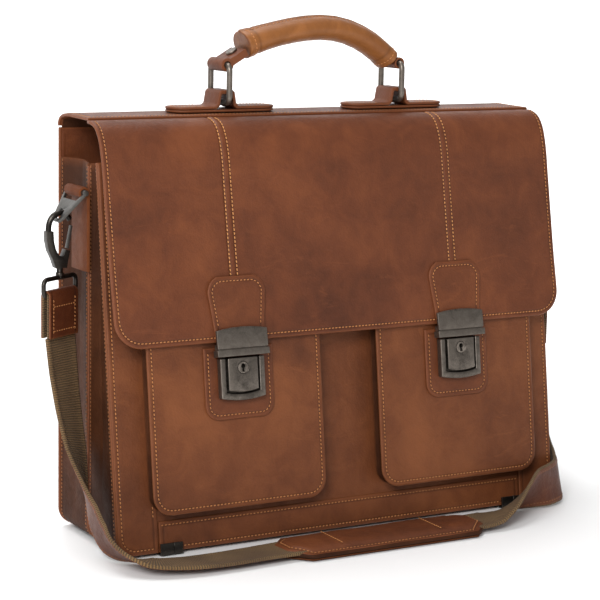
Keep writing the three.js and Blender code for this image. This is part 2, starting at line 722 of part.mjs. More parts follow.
// each point is x, y, z and then the way the strap's width points there
const STRAP_LEFT = [
  [-224, 9, 164.8, -0.866, -0.5, 0],
  [-222.8, 5.5, 138, -0.84, -0.54, 0],
  [-221.5, -1.5, 108, -0.78, -0.62, 0],
  [-220.5, -12.5, 80, -0.72, -0.7, 0.1],
  [-220, -27, 54, -0.45, -0.75, 0.4],
  [-219.5, -43, 34, -0.2, -0.7, 0.6],
  [-217.5, -60, 20, -0.2, -0.7, 0.6],
  [-210, -77, 11.5, -0.4, -0.7, 0.4],
  [-194, -92, 6.5, -0.4, -0.85, 0.12],
  [-171, -99.5, 5, -0.15, -0.97, 0.08],
  [-140, -101.5, 4.5, 0, -1, 0.05],
  [-105, -100, 4.5, 0, -1, 0.05],
  [-60, -98, 4.5, 0, -1, 0],
  [5.7, -98, 4.5, 0, -1, 0],
];

// the right half stands on its edge as it rounds the bag's corner, with its leather side out
const STRAP_RIGHT = [
  [224, 9, 127.2, 0, 1, 0],
  [224, 8, 100, 0, 1, -0.05],
  [223.5, 3, 72, 0, 0.95, -0.3],
  [222.5, -8, 46, 0, 0.75, -0.66],
  [220, -26, 30, 0.06, 0.35, -0.93],
  [215.5, -46, 22.8, 0.14, 0, -1],
  [205.5, -64, 21.2, 0.15, -0.15, -1],
  [190, -73, 20.2, 0, -0.05, -1],
  [171, -78.5, 19.8, 0, 0.25, -0.97],
  [150, -86, 16, 0, 0.7, -0.71],
  [128, -94.5, 9.8, 0, 0.94, -0.33],
  [112, -97.6, 5.8, 0, 1, -0.04],
  [98, -98, 4.5, 0, 1, 0],
  [60, -98, 4.5, 0, 1, 0],
  [6.3, -98, 4.5, 0, 1, 0],
];

function addStrap() {
  add(bag, 'strap_left', band(STRAP_LEFT, STRAP_W, STRAP_T, 36), WEBBING);
  add(bag, 'strap_right', band(STRAP_RIGHT, STRAP_W, STRAP_T, 40), WEBBING);
  const c = 16;
  const x0 = 6 - PAD_LEN / 2;
  const x1 = 6 + PAD_LEN / 2;
  const y0 = -98 - PAD_W / 2;
  const y1 = -98 + PAD_W / 2;
  const outline = polygon([[x0 + c, y0], [x1 - c, y0], [x1, y0 + c], [x1, y1 - c], [x1 - c, y1],
    [x0 + c, y1], [x0, y1 - c], [x0, y0 + c]]);
  const pad = extrude(outline, 0.6, 10);
  const tunnel = block(x0 - 5, x1 + 5, -98 - STRAP_W / 2 - 1, -98 + STRAP_W / 2 + 1, 1.8, 7.3);
  add(bag, 'shoulder_pad', cut(pad, tunnel), COGNAC);
}

// a flat frame with two windows and a middle bar, on the strap's outside
function addBuckle() {
  const frame = roundedRect(-21.8, -15, 21.8, 15, [2, 2, 2, 2]);
  const high = roundedRect(-19.4, 2, 19.4, 12.4, [1, 1, 1, 1]);
  const low = roundedRect(-19.4, -12.4, 19.4, -2, [1, 1, 1, 1]);
  const solid = cut(
    extrude(frame, 0, 3, ALONG_X),
    extrude(high, -5, 8, ALONG_X),
    extrude(low, -5, 8, ALONG_X),
  );
  solid.translate(4.6 + GAP, 0, 142);
  solid.rotateZ(LOOP_TURNS.right - Math.PI);
  solid.translate(HOOK_X, SIDE_Y, 0);
  add(bag, 'slide_buckle', solid, PEWTER);
}

addPanels();
addGussets();
addFrontTrim();
addFootClips();
addPockets();
addLocks();
addTop();
addFlap();
addFlapFittings();
addHandle();
addHangers();
addStrap();
addBuckle();

export default bag;
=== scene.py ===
"""Looks for the leather briefcase. Lengths are millimetres in the bag's own frame until at() turns them
into the row frame's metres; the bag faces -Y and stands on z = 0."""

import math

import bmesh
import bpy
import numpy as np
from mathutils import Matrix, Vector


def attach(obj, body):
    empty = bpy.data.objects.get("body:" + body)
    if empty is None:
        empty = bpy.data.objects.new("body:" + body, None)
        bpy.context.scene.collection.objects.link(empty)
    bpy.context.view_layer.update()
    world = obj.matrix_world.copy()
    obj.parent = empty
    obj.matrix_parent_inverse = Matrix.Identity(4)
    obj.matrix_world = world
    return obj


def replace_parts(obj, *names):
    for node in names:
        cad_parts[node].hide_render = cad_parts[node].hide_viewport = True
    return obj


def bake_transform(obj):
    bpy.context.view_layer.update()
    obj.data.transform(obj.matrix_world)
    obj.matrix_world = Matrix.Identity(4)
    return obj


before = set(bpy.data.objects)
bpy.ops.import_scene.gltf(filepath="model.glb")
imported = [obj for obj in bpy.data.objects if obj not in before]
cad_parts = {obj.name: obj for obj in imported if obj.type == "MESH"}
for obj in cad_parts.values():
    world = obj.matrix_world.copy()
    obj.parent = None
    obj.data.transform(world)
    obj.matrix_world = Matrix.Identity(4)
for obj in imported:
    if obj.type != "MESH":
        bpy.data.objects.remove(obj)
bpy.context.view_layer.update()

BAG_Y = 4.95
HALF_W = 205
FRONT_Y = -57
FRONT_TILT = math.atan(41 / 301)
FLAP_LOW_Y, FLAP_LOW_Z = -56.3, 163
FLAP_TILT = math.atan(11.8 / 55)
LOCK_X = 101.5
RING_X, RING_Y = 80.5, 22
SIDE_X, SIDE_Y, SIDE_Z = 210, 9, 277
HOOK_X = 224
TURN = {"left": math.radians(-60), "right": 0.0}
SIDES = (("left", -1), ("right", 1))
STITCH_INSET = 4.0
HARD_CORNER = 30
WEB_HALF = 18.4
CAMERA_YAW, CAMERA_PITCH, CAMERA_ROLL = 30.0975, 9.5289, 1.137
CAMERA_LENS = 125.04
CAMERA_PLACE = (-856, -1449.5, 462)


def at(p):
    """Bag millimetres to row metres, for a point or an array of points."""
    p = np.asarray(p, float)
    return (p + np.array([0, BAG_Y, 0])) / 1000


# ---- camera -------------------------------------------------------------------------


def add_camera():
    yaw, pitch, roll = (math.radians(a) for a in (CAMERA_YAW, CAMERA_PITCH, CAMERA_ROLL))
    side = Vector((math.cos(yaw), -math.sin(yaw), 0))
    ahead = Vector((math.sin(yaw), math.cos(yaw), 0))
    up = Vector((0, 0, 1))
    look = ahead * math.cos(pitch) - up * math.sin(pitch)
    rise = up * math.cos(pitch) + ahead * math.sin(pitch)
    right = side * math.cos(roll) + rise * math.sin(roll)
    top = rise * math.cos(roll) - side * math.sin(roll)
    data = bpy.data.cameras.new("camera")
    data.sensor_width = 36
    data.lens = CAMERA_LENS
    data.clip_end = 50
    camera = bpy.data.objects.new("camera", data)
    bpy.context.scene.collection.objects.link(camera)
    turn = Matrix((right, top, -look)).transposed()
    camera.matrix_world = Matrix.Translation(Vector(at(CAMERA_PLACE))) @ turn.to_4x4()
    bpy.context.scene.camera = camera


# ---- materials ----------------------------------------------------------------------


class Nodes:
    """A short way to write a node tree."""

    def __init__(self, name):
        self.material = bpy.data.materials.new(name)
        self.material.use_nodes = True
        self.tree = self.material.node_tree
        self.tree.nodes.clear()
        self.shader = self.new("ShaderNodeBsdfPrincipled")
        out = self.new("ShaderNodeOutputMaterial")
        self.join(self.shader.outputs[0], out.inputs[0])
        self.place = self.new("ShaderNodeTexCoord").outputs["Object"]

    def new(self, kind, **settings):
        node = self.tree.nodes.new(kind)
        for key, value in settings.items():
            setattr(node, key, value)
        return node

    def join(self, a, b):
        self.tree.links.new(a, b)

    def put(self, socket, value):
        if hasattr(value, "is_linked"):
            self.join(value, socket)
        else:
            socket.default_value = value

    def stretched(self, x, y, z, source=None):
        node = self.new("ShaderNodeMapping")
        self.join(source or self.place, node.inputs["Vector"])
        node.inputs["Scale"].default_value = (x, y, z)
        return node.outputs[0]

    def noise(self, scale, detail=4.0, rough=0.55, warp=0.0, source=None):
        node = self.new("ShaderNodeTexNoise")
        self.join(source or self.place, node.inputs["Vector"])
        node.inputs["Scale"].default_value = scale
        node.inputs["Detail"].default_value = detail
        node.inputs["Roughness"].default_value = rough
        node.inputs["Distortion"].default_value = warp
        return node.outputs["Fac"]

    def cells(self, scale, feature="F1", source=None):
        node = self.new("ShaderNodeTexVoronoi", feature=feature)
        self.join(source or self.place, node.inputs["Vector"])
        node.inputs["Scale"].default_value = scale
        return node.outputs["Distance"]

    def attribute(self, name):
        return self.new("ShaderNodeAttribute", attribute_name=name).outputs["Fac"]

    def math(self, how, a, b=0.0, clamp=False):
        node = self.new("ShaderNodeMath", operation=how, use_clamp=clamp)
        self.put(node.inputs[0], a)
        self.put(node.inputs[1], b)
        return node.outputs[0]

    def span(self, value, low, high, out_low=0.0, out_high=1.0):
        node = self.new("ShaderNodeMapRange")
        self.put(node.inputs["Value"], value)
        for key, v in zip(("From Min", "From Max", "To Min", "To Max"), (low, high, out_low, out_high)):
            node.inputs[key].default_value = v
        return node.outputs[0]

    def ramp(self, value, *stops):
        node = self.new("ShaderNodeValToRGB")
        elements = node.color_ramp.elements
        while len(elements) < len(stops):
            elements.new(0.5)
        for element, (position, colour) in zip(elements, stops):
            element.position = position
            element.color = (*colour, 1)
        self.put(node.inputs[0], value)
        return node.outputs["Color"]

    def mix(self, amount, a, b):
        node = self.new("ShaderNodeMix", data_type="RGBA")
        self.put(node.inputs["Factor"], amount)
        self.put(node.inputs["A"], a)
        self.put(node.inputs["B"], b)
        return node.outputs["Result"]

    def bump(self, height, strength, distance, normal=None):
        node = self.new("ShaderNodeBump")
        node.inputs["Strength"].default_value = strength
        node.inputs["Distance"].default_value = distance
        self.join(height, node.inputs["Height"])
        if normal:
            self.join(normal, node.inputs["Normal"])
        return node.outputs[0]

    def done(self, colour, rough, normal=None, metal=None):
        self.put(self.shader.inputs["Base Color"], colour)
        self.put(self.shader.inputs["Roughness"], rough)
        if metal is not None:
            self.put(self.shader.inputs["Metallic"], metal)
        if normal:
            self.join(normal, self.shader.inputs["Normal"])
        return self.material


def srgb(r, g, b):
    """0-255 screen colour to a linear one."""
    return tuple((c / 255 / 12.92) if c < 10 else ((c / 255 + 0.055) / 1.055) ** 2.4 for c in (r, g, b))


def leather(name, dark, mid, light, edge, shine=0.5, grain=1.0, seed=0.0, gloss=0.24):
    """Pull-up leather: cloudy tone, rubbed streaks, pores, creases, burnished rims, and stitch grooves darkened
    partly as pressed leather, partly as painted shade.
    """
    n = Nodes(name)
    shift = n.new("ShaderNodeMapping")
    n.join(n.place, shift.inputs["Vector"])
    shift.inputs["Location"].default_value = (seed, seed * 0.7, seed * 1.3)
    n.place = shift.outputs[0]
    clouds = n.noise(7, 4, 0.6, 0.6)
    mottle = n.noise(42, 6, 0.62, 0.9)
    rubbed = n.noise(1, 5, 0.65, 0.3, n.stretched(34, 34, 9))
    tone = n.math("ADD", n.math("MULTIPLY", clouds, 0.55), n.math("MULTIPLY", mottle, 0.27))
    tone = n.math("ADD", tone, n.math("MULTIPLY", rubbed, 0.18))
    colour = n.ramp(tone, (0.36, dark), (0.5, mid), (0.66, light))
    scuff = n.span(n.noise(11, 8, 0.75, 2.2, n.stretched(1.0, 1.0, 2.6)), 0.585, 0.66)
    colour = n.mix(n.math("MULTIPLY", scuff, 0.35), colour, (*light, 1))
    pores = n.cells(1150)
    colour = n.mix(n.span(pores, 0.0, 0.4, 0.22, 0.0), colour, (*[c * 0.35 for c in dark], 1))
    # Stitch grooves and pinches are darkened here: partly the pressed leather's own tone, partly painted shade
    # standing in for the shade inside the recess.
    seam = n.attribute("seam")
    colour = n.mix(n.math("MULTIPLY", seam, 0.55), colour, (*[c * 0.5 for c in dark], 1))
    rim = n.attribute("rim")
    worn = n.math("MULTIPLY", rim, n.span(n.noise(160, 4, 0.6), 0.3, 0.62, 0.55, 1.0), True)
    colour = n.mix(worn, colour, (*edge, 1))
    rough = n.span(tone, 0.38, 0.62, shine + 0.07, shine - 0.06)
    rough = n.math("ADD", rough, n.span(n.noise(240, 3), 0.3, 0.7, -0.05, 0.07))
    wave = n.bump(n.noise(13, 3, 0.5, 0.4), 0.22, 0.006)
    crease = n.bump(n.noise(95, 6, 0.65, 1.1), 0.34 * grain, 0.0012, wave)
    fine = n.bump(n.cells(620, "SMOOTH_F1"), 0.3 * grain, 0.0005, crease)
    n.shader.inputs["Specular IOR Level"].default_value = gloss
    return n.done(colour, rough, fine)


def pewter(name, dark, light, rough=0.38, wear=1.0):
    """Antiqued plating: dark in hollows, rubbed bright on corners, with fine pitting."""
    n = Nodes(name)
    stain = n.noise(120, 8, 0.7, 0.8)
    speck = n.noise(900, 4, 0.6)
    tone = n.math("ADD", n.math("MULTIPLY", stain, 0.7), n.math("MULTIPLY", speck, 0.3))
    colour = n.ramp(tone, (0.36, dark), (0.62, light))
    point = n.new("ShaderNodeNewGeometry").outputs["Pointiness"]
    bright = n.math("MULTIPLY", n.span(point, 0.51, 0.58), 0.75 * wear)
    colour = n.mix(bright, colour, (*[min(1, c * 1.9) for c in light], 1))
    hollow = n.span(point, 0.49, 0.43, 0.0, 0.8)
    colour = n.mix(hollow, colour, (*[c * 0.35 for c in dark], 1))
    roughness = n.span(tone, 0.35, 0.65, rough + 0.14, rough - 0.06)
    pits = n.bump(n.noise(1400, 4, 0.6), 0.16, 0.0003)
    dents = n.bump(n.noise(210, 3, 0.5), 0.12, 0.0012, pits)
    return n.done(colour, roughness, dents, 0.88)


def thread_look(name, colour):
    n = Nodes(name)
    twist = n.new("ShaderNodeTexWave", wave_type="BANDS", bands_direction="DIAGONAL")
    n.join(n.place, twist.inputs["Vector"])
    twist.inputs["Scale"].default_value = 900
    tint = n.noise(60, 3)
    shade = n.ramp(tint, (0.3, tuple(c * 0.72 for c in colour)), (0.7, colour))
    shade = n.mix(n.span(twist.outputs["Fac"], 0, 1, 0.25, 0.0), shade, (*[c * 0.5 for c in colour], 1))
    return n.done(shade, 0.62, n.bump(twist.outputs["Fac"], 0.4, 0.0003))


def webbing_look(name):
    """Ribbed cotton webbing: ribs run across, warp yarns along, from the strip's own lengths."""
    n = Nodes(name)
    uv = n.new("ShaderNodeUVMap", uv_map="UVMap").outputs[0]
    ribs = n.new("ShaderNodeTexWave", wave_type="BANDS", bands_direction="Y", wave_profile="SIN")
    n.join(uv, ribs.inputs["Vector"])
    ribs.inputs["Scale"].default_value = 0.17
    ribs.inputs["Distortion"].default_value = 0.5
    warp = n.new("ShaderNodeTexWave", wave_type="BANDS", bands_direction="X", wave_profile="SIN")
    n.join(uv, warp.inputs["Vector"])
    warp.inputs["Scale"].default_value = 0.32
    warp.inputs["Distortion"].default_value = 1.0
    yarn = n.math("MULTIPLY", ribs.outputs["Fac"], n.span(warp.outputs["Fac"], 0, 1, 0.55, 1.0))
    fuzz = n.noise(700, 4, 0.7)
    patch = n.noise(30, 4)
    base = n.ramp(patch, (0.3, srgb(98, 70, 38)), (0.7, srgb(138, 106, 64)))
    colour = n.mix(n.span(yarn, 0.0, 0.6, 0.85, 0.0), base, (*srgb(30, 20, 10), 1))
    colour = n.mix(n.span(fuzz, 0.4, 0.7, 0.0, 0.3), colour, (*srgb(126, 98, 60), 1))
    weave = n.bump(yarn, 0.85, 0.0011)
    n.shader.inputs["Sheen Weight"].default_value = 0.03
    n.shader.inputs["Sheen Roughness"].default_value = 0.6
    return n.done(colour, 0.82, n.bump(fuzz, 0.25, 0.0004, weave))


def board_look(name):
    n = Nodes(name)
    fibres = n.noise(1, 6, 0.7, 0.5, n.stretched(60, 400, 400))
    colour = n.ramp(fibres, (0.3, srgb(78, 62, 44)), (0.7, srgb(122, 102, 76)))
    return n.done(colour, 0.85, n.bump(fibres, 0.4, 0.0006))


def floor_look(name):
    """White paper; it brightens away from the object, as a backdrop lit on its own does."""
    n = Nodes(name)
    colour = n.ramp(n.noise(3, 2), (0.0, (0.93, 0.93, 0.93)), (1.0, (0.96, 0.96, 0.96)))
    away = n.new("ShaderNodeVectorMath", operation="LENGTH")
    n.join(n.place, away.inputs[0])
    n.shader.inputs["Emission Color"].default_value = (1, 1, 1, 1)
    n.join(n.span(away.outputs["Value"], 0.45, 1.2, 0.0, 0.7), n.shader.inputs["Emission Strength"])
    return n.done(colour, n.span(n.noise(40, 2), 0, 1, 0.6, 0.7), n.bump(n.noise(300, 2), 0.02, 0.0004))


HIDE = leather(
    "leather_cognac", srgb(72, 37, 21), srgb(96, 51, 29), srgb(118, 66, 38), srgb(112, 62, 34),
    0.5,
)
HIDE_B = leather(
    "leather_pocket", srgb(78, 41, 22), srgb(102, 56, 30), srgb(123, 71, 39), srgb(114, 65, 36),
    0.52, 1, 3.1,
)
HIDE_C = leather(
    "leather_trim", srgb(78, 40, 22), srgb(100, 54, 30), srgb(123, 70, 40), srgb(112, 63, 36),
    0.5, 1, 6.4,
)
HIDE_SIDE = leather(
    "leather_side_tab", srgb(74, 38, 21), srgb(96, 52, 29), srgb(116, 66, 38), srgb(112, 63, 36),
    0.6, 1, 5.3, 0.1,
)
HIDE_GRIP = leather(
    "leather_grip", srgb(104, 60, 30), srgb(132, 82, 42), srgb(158, 102, 58), srgb(98, 56, 30),
    0.44, 0.7, 9.2,
)
# Painted shade: a darker copy of the cognac leather, given to the side gussets, pocket gussets, the pad's
# underside and filling, and the inner fold strips, where those parts turn away from the lamps.
HIDE_SHADED = leather(
    "leather_gusset", srgb(44, 23, 13), srgb(62, 34, 19), srgb(82, 47, 28), srgb(94, 53, 30),
    0.62, 1.1, 1.7, 0.1,
)
HIDE_STRAP = leather(
    "leather_strap_end", srgb(60, 28, 14), srgb(82, 40, 21), srgb(106, 58, 32), srgb(112, 64, 36),
    0.48, 1, 4.9,
)
METAL = pewter("pewter", srgb(50, 45, 40), srgb(108, 100, 92), 0.36)
METAL_DARK = pewter("gunmetal", srgb(24, 22, 20), srgb(54, 50, 46), 0.3)
METAL_WORN = pewter("pewter_worn", srgb(40, 39, 37), srgb(78, 76, 73), 0.4, 0.9)
THREAD = thread_look("thread_tan", srgb(192, 126, 70))
THREAD_BRIGHT = thread_look("thread_gold", srgb(212, 146, 84))
THREAD_DARK = thread_look("thread_brown", srgb(150, 92, 48))
WEBBING = webbing_look("webbing_olive")
BOARD = board_look("fibreboard")


# ---- geometry helpers ---------------------------------------------------------------


def make(name, verts, faces, look, body, attributes=None, uvs=None, angle=None):
    """A finished piece from row-frame metres, riding on a body."""
    mesh = bpy.data.meshes.new(name)
    mesh.from_pydata([tuple(v) for v in verts], [], [tuple(int(i) for i in f) for f in faces])
    mesh.validate()
    for key, values in (attributes or {}).items():
        layer = mesh.attributes.new(key, "FLOAT", "POINT")
        layer.data.foreach_set("value", np.asarray(values, np.float32))
    if uvs is not None:
        layer = mesh.uv_layers.new(name="UVMap")
        corner = np.zeros(len(mesh.loops), np.int32)
        mesh.loops.foreach_get("vertex_index", corner)
        layer.data.foreach_set("uv", np.asarray(uvs, np.float32)[corner].reshape(-1))
    mesh.materials.append(look)
    mesh.shade_smooth()
    if angle:
        mesh.set_sharp_from_angle(angle=math.radians(angle))
    piece = bpy.data.objects.new(name, mesh)
    bpy.context.scene.collection.objects.link(piece)
    if body:
        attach(piece, body)
    return piece


def unit(v):
    v = np.asarray(v, float)
    return v / np.maximum(np.linalg.norm(v, axis=-1, keepdims=True), 1e-9)


def lengths_along(points):
    """Length from the start of a line to each of its points."""
    return np.concatenate([[0], np.cumsum(np.linalg.norm(np.diff(points, axis=0), axis=1))])


def sampled(q, s, points):
    """The line's points at the lengths q, where s holds the length at each given point."""
    return np.stack([np.interp(q, s, points[:, k]) for k in range(points.shape[1])], 1)


def hexagon_faces(bands):
    """Side faces of a six-sided thread, one band after another."""
    corners = [(k, (k + 1) % 6) for k in range(6)]
    return [(r * 6 + k, r * 6 + o, (r + 1) * 6 + o, (r + 1) * 6 + k) for r in range(bands) for k, o in corners]


def grid_normals(p):
    a = np.gradient(p, axis=1)
    b = np.gradient(p, axis=0)
    return unit(np.cross(a, b))


def skin(name, p, t, look, body, flip=False, seam=None, soft=0.85):
    """Closed leather with rounded rims. p is the outer face as rows by columns of bag millimetres,
    with columns to the right and rows upward seen from outside, or flip is set."""
    rows, cols = p.shape[:2]
    n = grid_normals(p) * (-1 if flip else 1)
    ring = [(0, j) for j in range(cols)] + [(i, cols - 1) for i in range(1, rows)]
    ring += [(rows - 1, j) for j in range(cols - 2, -1, -1)] + [(i, 0) for i in range(rows - 2, 0, -1)]
    ri = np.array(ring)
    edge, normal = p[ri[:, 0], ri[:, 1]], n[ri[:, 0], ri[:, 1]]
    along = unit(np.roll(edge, -1, 0) - np.roll(edge, 1, 0))
    out = unit(np.cross(along, normal))
    inner = p[np.clip(ri[:, 0], 1, rows - 2), np.clip(ri[:, 1], 1, cols - 2)]
    out *= np.sign(((edge - inner) * out).sum(1, keepdims=True) + 1e-12)
    verts = [p.reshape(-1, 3), (p - n * t).reshape(-1, 3)]
    steps = 5
    for k in range(1, steps):
        a = math.pi * k / steps
        verts.append(edge - normal * (t / 2) * (1 - math.cos(a)) + out * math.sin(a) * t / 2 * soft)
    count = rows * cols
    faces = []
    for i in range(rows - 1):
        for j in range(cols - 1):
            a, b, c, d = i * cols + j, i * cols + j + 1, (i + 1) * cols + j + 1, (i + 1) * cols + j
            faces.append((a, b, c, d))
            faces.append((count + d, count + c, count + b, count + a))
    loops = [[i * cols + j for i, j in ring]]
    loops += [[2 * count + k * len(ring) + m for m in range(len(ring))] for k in range(steps - 1)]
    loops.append([count + i * cols + j for i, j in ring])
    for low, high in zip(loops, loops[1:]):
        for m in range(len(ring)):
            o = (m + 1) % len(ring)
            faces.append((low[o], low[m], high[m], high[o]))
    verts = np.concatenate(verts)
    rim = np.zeros(len(verts))
    rim[2 * count:] = 1
    rim[loops[0]] = 0.75
    rim[loops[-1]] = 0.75
    # Mask for the darkened stitch grooves: pressed leather plus painted shade in the recess.
    groove = np.zeros(len(verts))
    if seam is not None:
        groove[:count] = np.asarray(seam).reshape(-1)
    if flip:
        faces = [f[::-1] for f in faces]
    return make(name, at(verts), faces, look, body, {"rim": rim, "seam": groove}, angle=70)


def ticks(low, high, ends=(True, True), step=9.0, reach=0):
    """Places along a side: close together near the ends, where rims and stitching are."""
    near = [0, 0.6, 1.2, 2, 2.8, 3.4, 3.8, 4.2, 4.6, 5.2, 6, 7.2, 9]
    near += list(np.arange(10.5, reach + 1, 1.5))
    a = [low + d for d in near if ends[0]] or [low]
    b = [high - d for d in near if ends[1]] or [high]
    start, stop = max(a), min(b)
    middle = list(np.linspace(start, stop, max(2, int((stop - start) / step) + 2)))[1:-1]
    return np.array(sorted(set(np.round(a + middle + b, 4))))


def distance_to(outline, points):
    """Distance from each point to a closed outline, in the flat."""
    best = np.full(len(points), 1e9)
    for a, b in zip(outline, np.roll(outline, -1, 0)):
        d = b - a
        length = max(float(d @ d), 1e-12)
        t = np.clip(((points - a) @ d) / length, 0, 1)
        best = np.minimum(best, np.linalg.norm(points - a - t[:, None] * d, axis=1))
    return best


def flat_grid(x0, x1, h0, h1, radii=(0, 0), left=None, right=None, inset=1.0, step=9.0):
    """Flat outline as a grid of (x, h): rounded low and high corners, or side curves left(h), right(h)."""
    x0, x1, h0, h1 = x0 + inset, x1 - inset, h0 + inset, h1 - inset
    hs = ticks(h0, h1, step=step, reach=max(radii) if max(radii) else 12)
    xs = ticks(x0, x1, step=step, reach=max(radii) if max(radii) else 12)
    grid = np.zeros((len(hs), len(xs), 2))
    for i, h in enumerate(hs):
        pull = 0
        for r, gap in ((radii[0] - inset, h - h0), (radii[1] - inset, h1 - h)):
            if r > 0 and gap < r:
                pull = max(pull, r - math.sqrt(max(r * r - (r - gap) ** 2, 0)))
        a = left(h) + inset if left else x0 + pull
        b = right(h) - inset if right else x1 - pull
        mid = (x0 + x1) / 2
        if left or pull:
            centre, half = (a + b) / 2, (b - a) / 2
            u = (xs - mid) / ((x1 - x0) / 2)
            grid[i, :, 0] = centre + u * half
        else:
            grid[i, :, 0] = xs
        grid[i, :, 1] = h
    return grid


def border(grid):
    return np.concatenate([grid[0], grid[1:, -1], grid[-1, ::-1][1:], grid[1:-1, 0][::-1]])


def groove(d, at_d, depth, width):
    return -depth * np.exp(-(((d - at_d) / width) ** 2))


def plane(origin_y, origin_z, tilt, outward=-1):
    """A face that leans back by tilt: (x, h, o) is across, up the slope and out of it."""

    def place(x, h, o):
        s, c = math.sin(tilt), math.cos(tilt)
        x, h, o = np.broadcast_arrays(np.asarray(x, float), np.asarray(h, float), np.asarray(o, float))
        return np.stack([x, origin_y + h * s + outward * o * c, origin_z + h * c - outward * o * s], -1)

    return place


FRONT = plane(FRONT_Y, 0, FRONT_TILT)
LEAF = plane(FLAP_LOW_Y, FLAP_LOW_Z, FLAP_TILT)


def panel(name, face, grid, out, t, look, body, node, flip=False):
    """A flat leather piece with a pressed stitch groove all round."""
    d = distance_to(border(grid), grid.reshape(-1, 2)).reshape(grid.shape[:2])
    x, h = grid[..., 0], grid[..., 1]
    lift = groove(d, STITCH_INSET - 1, 0.32, 0.9)
    lift += -0.25 * np.clip(1 - d / 2.2, 0, 1) ** 2
    # The groove is darkened along its depth: pressed leather plus painted shade.
    seam = np.clip(-lift / 0.34, 0, 1) * (d > 2)
    piece = skin(name, face(x, h, out + lift), t, look, body, seam=seam, flip=flip)
    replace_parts(piece, node)


def arc(cx, cy, r, a0, a1, steps=7):
    a = np.radians(np.linspace(a0, a1, steps))
    return [(cx + r * math.cos(t), cy + r * math.sin(t)) for t in a]


def frame_path(x0, x1, h0, h1, r_low, r_high, d, closed=True):
    """The outline of a rounded rectangle moved in by d; open along the top unless closed."""
    x0, x1, h0, h1 = x0 + d, x1 - d, h0 + d, h1 - d
    a, b = max(r_low - d, 0.5), max(r_high - d, 0.5)
    path = [(x0, h1 - (b if closed else 0))]
    path += arc(x0 + a, h0 + a, a, 180, 270) + arc(x1 - a, h0 + a, a, 270, 360)
    if closed:
        path += arc(x1 - b, h1 - b, b, 0, 90) + arc(x0 + b, h1 - b, b, 90, 180)
    else:
        path += [(x1, h1)]
    return path


def walk(points, pitch):
    """Points and tangents evenly spaced along a polyline."""
    points = np.asarray(points, float)
    step = np.linalg.norm(np.diff(points, axis=0), axis=1)
    s = np.concatenate([[0], np.cumsum(step)])
    keep = np.concatenate([[True], step > 1e-6])
    s, points = s[keep], points[keep]
    count = max(2, int(round(s[-1] / pitch)))
    q = (np.arange(count) + 0.5) * s[-1] / count
    where = sampled(q, s, points)
    ahead = sampled(q + 0.4, s, points)
    back = sampled(q - 0.4, s, points)
    return where, unit(ahead - back)


STITCHES = {}


def sew(points, normals_at, body, pitch=3.1, size=0.48, look=THREAD, slant=0.12):
    """Queue one row of stitches: points in bag millimetres, normals_at gives the outward way at a point."""
    where, along = walk(points, pitch)
    if callable(normals_at):
        n = unit(np.asarray([normals_at(p) for p in where]))
    else:
        n = unit(np.broadcast_to(normals_at, where.shape))
    side = unit(np.cross(n, along))
    along = unit(along + side * slant)
    side = unit(np.cross(n, along))
    half = pitch * 0.37
    rings = ((-1, 0.3, -0.34), (-0.62, 0.85, 0.02), (0, 1.0, 0.12), (0.62, 0.85, 0.02), (1, 0.3, -0.34))
    verts = []
    for s, fat, lift in rings:
        for k in range(6):
            a = math.pi * k / 3
            verts.append(where + along * s * half + side * math.cos(a) * size * fat
                         + n * (math.sin(a) * size * 0.8 * fat + lift * size / 0.42))
    verts = np.stack(verts, 1)
    STITCHES.setdefault((body, look.name), []).append(verts)


def make_stitches():
    faces = hexagon_faces(4)
    faces += [(5, 4, 3, 2, 1, 0), (24, 25, 26, 27, 28, 29)]
    faces = [f[::-1] for f in faces]
    for (body, look), parts in STITCHES.items():
        verts = np.concatenate(parts)
        all_faces = [tuple(i + 30 * m for i in f) for m in range(len(verts)) for f in faces]
        thread = bpy.data.materials[look]
        make(f"stitches_{body}_{look}", at(verts.reshape(-1, 3)), all_faces, thread, body)


def sew_flat(face, path, out, body, **more):
    pts = np.array([face(x, h, out) for x, h in path])
    n = face(0, 0, 1) - face(0, 0, 0)
    sew(pts, n, body, **more)


def copy_of(node, look, body, bevel=0.5, segments=3, smooth=40):
    """A CAD piece with its hard corners rounded over."""
    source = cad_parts[node]
    mesh = source.data.copy()
    bm = bmesh.new()
    bm.from_mesh(mesh)
    bmesh.ops.remove_doubles(bm, verts=bm.verts, dist=2e-6)
    bmesh.ops.dissolve_limit(bm, angle_limit=math.radians(1), verts=bm.verts, edges=bm.edges)
    bm.to_mesh(mesh)
    bm.free()
    piece = bpy.data.objects.new(f"{node}_finish", mesh)
    bpy.context.scene.collection.objects.link(piece)
    mesh.materials.clear()
    mesh.materials.append(look)
    if bevel:
        tool = piece.modifiers.new("bevel", "BEVEL")
        tool.width = bevel / 1000
        tool.segments = segments
        tool.limit_method = "ANGLE"
        tool.angle_limit = math.radians(HARD_CORNER)
        tool.use_clamp_overlap = True
    bpy.context.view_layer.update()
    final = bpy.data.meshes.new_from_object(piece.evaluated_get(bpy.context.evaluated_depsgraph_get()))
    piece.modifiers.clear()
    piece.data = final
    final.shade_smooth()
    final.set_sharp_from_angle(angle=math.radians(smooth))
    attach(piece, body)
    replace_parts(piece, node)
    return piece


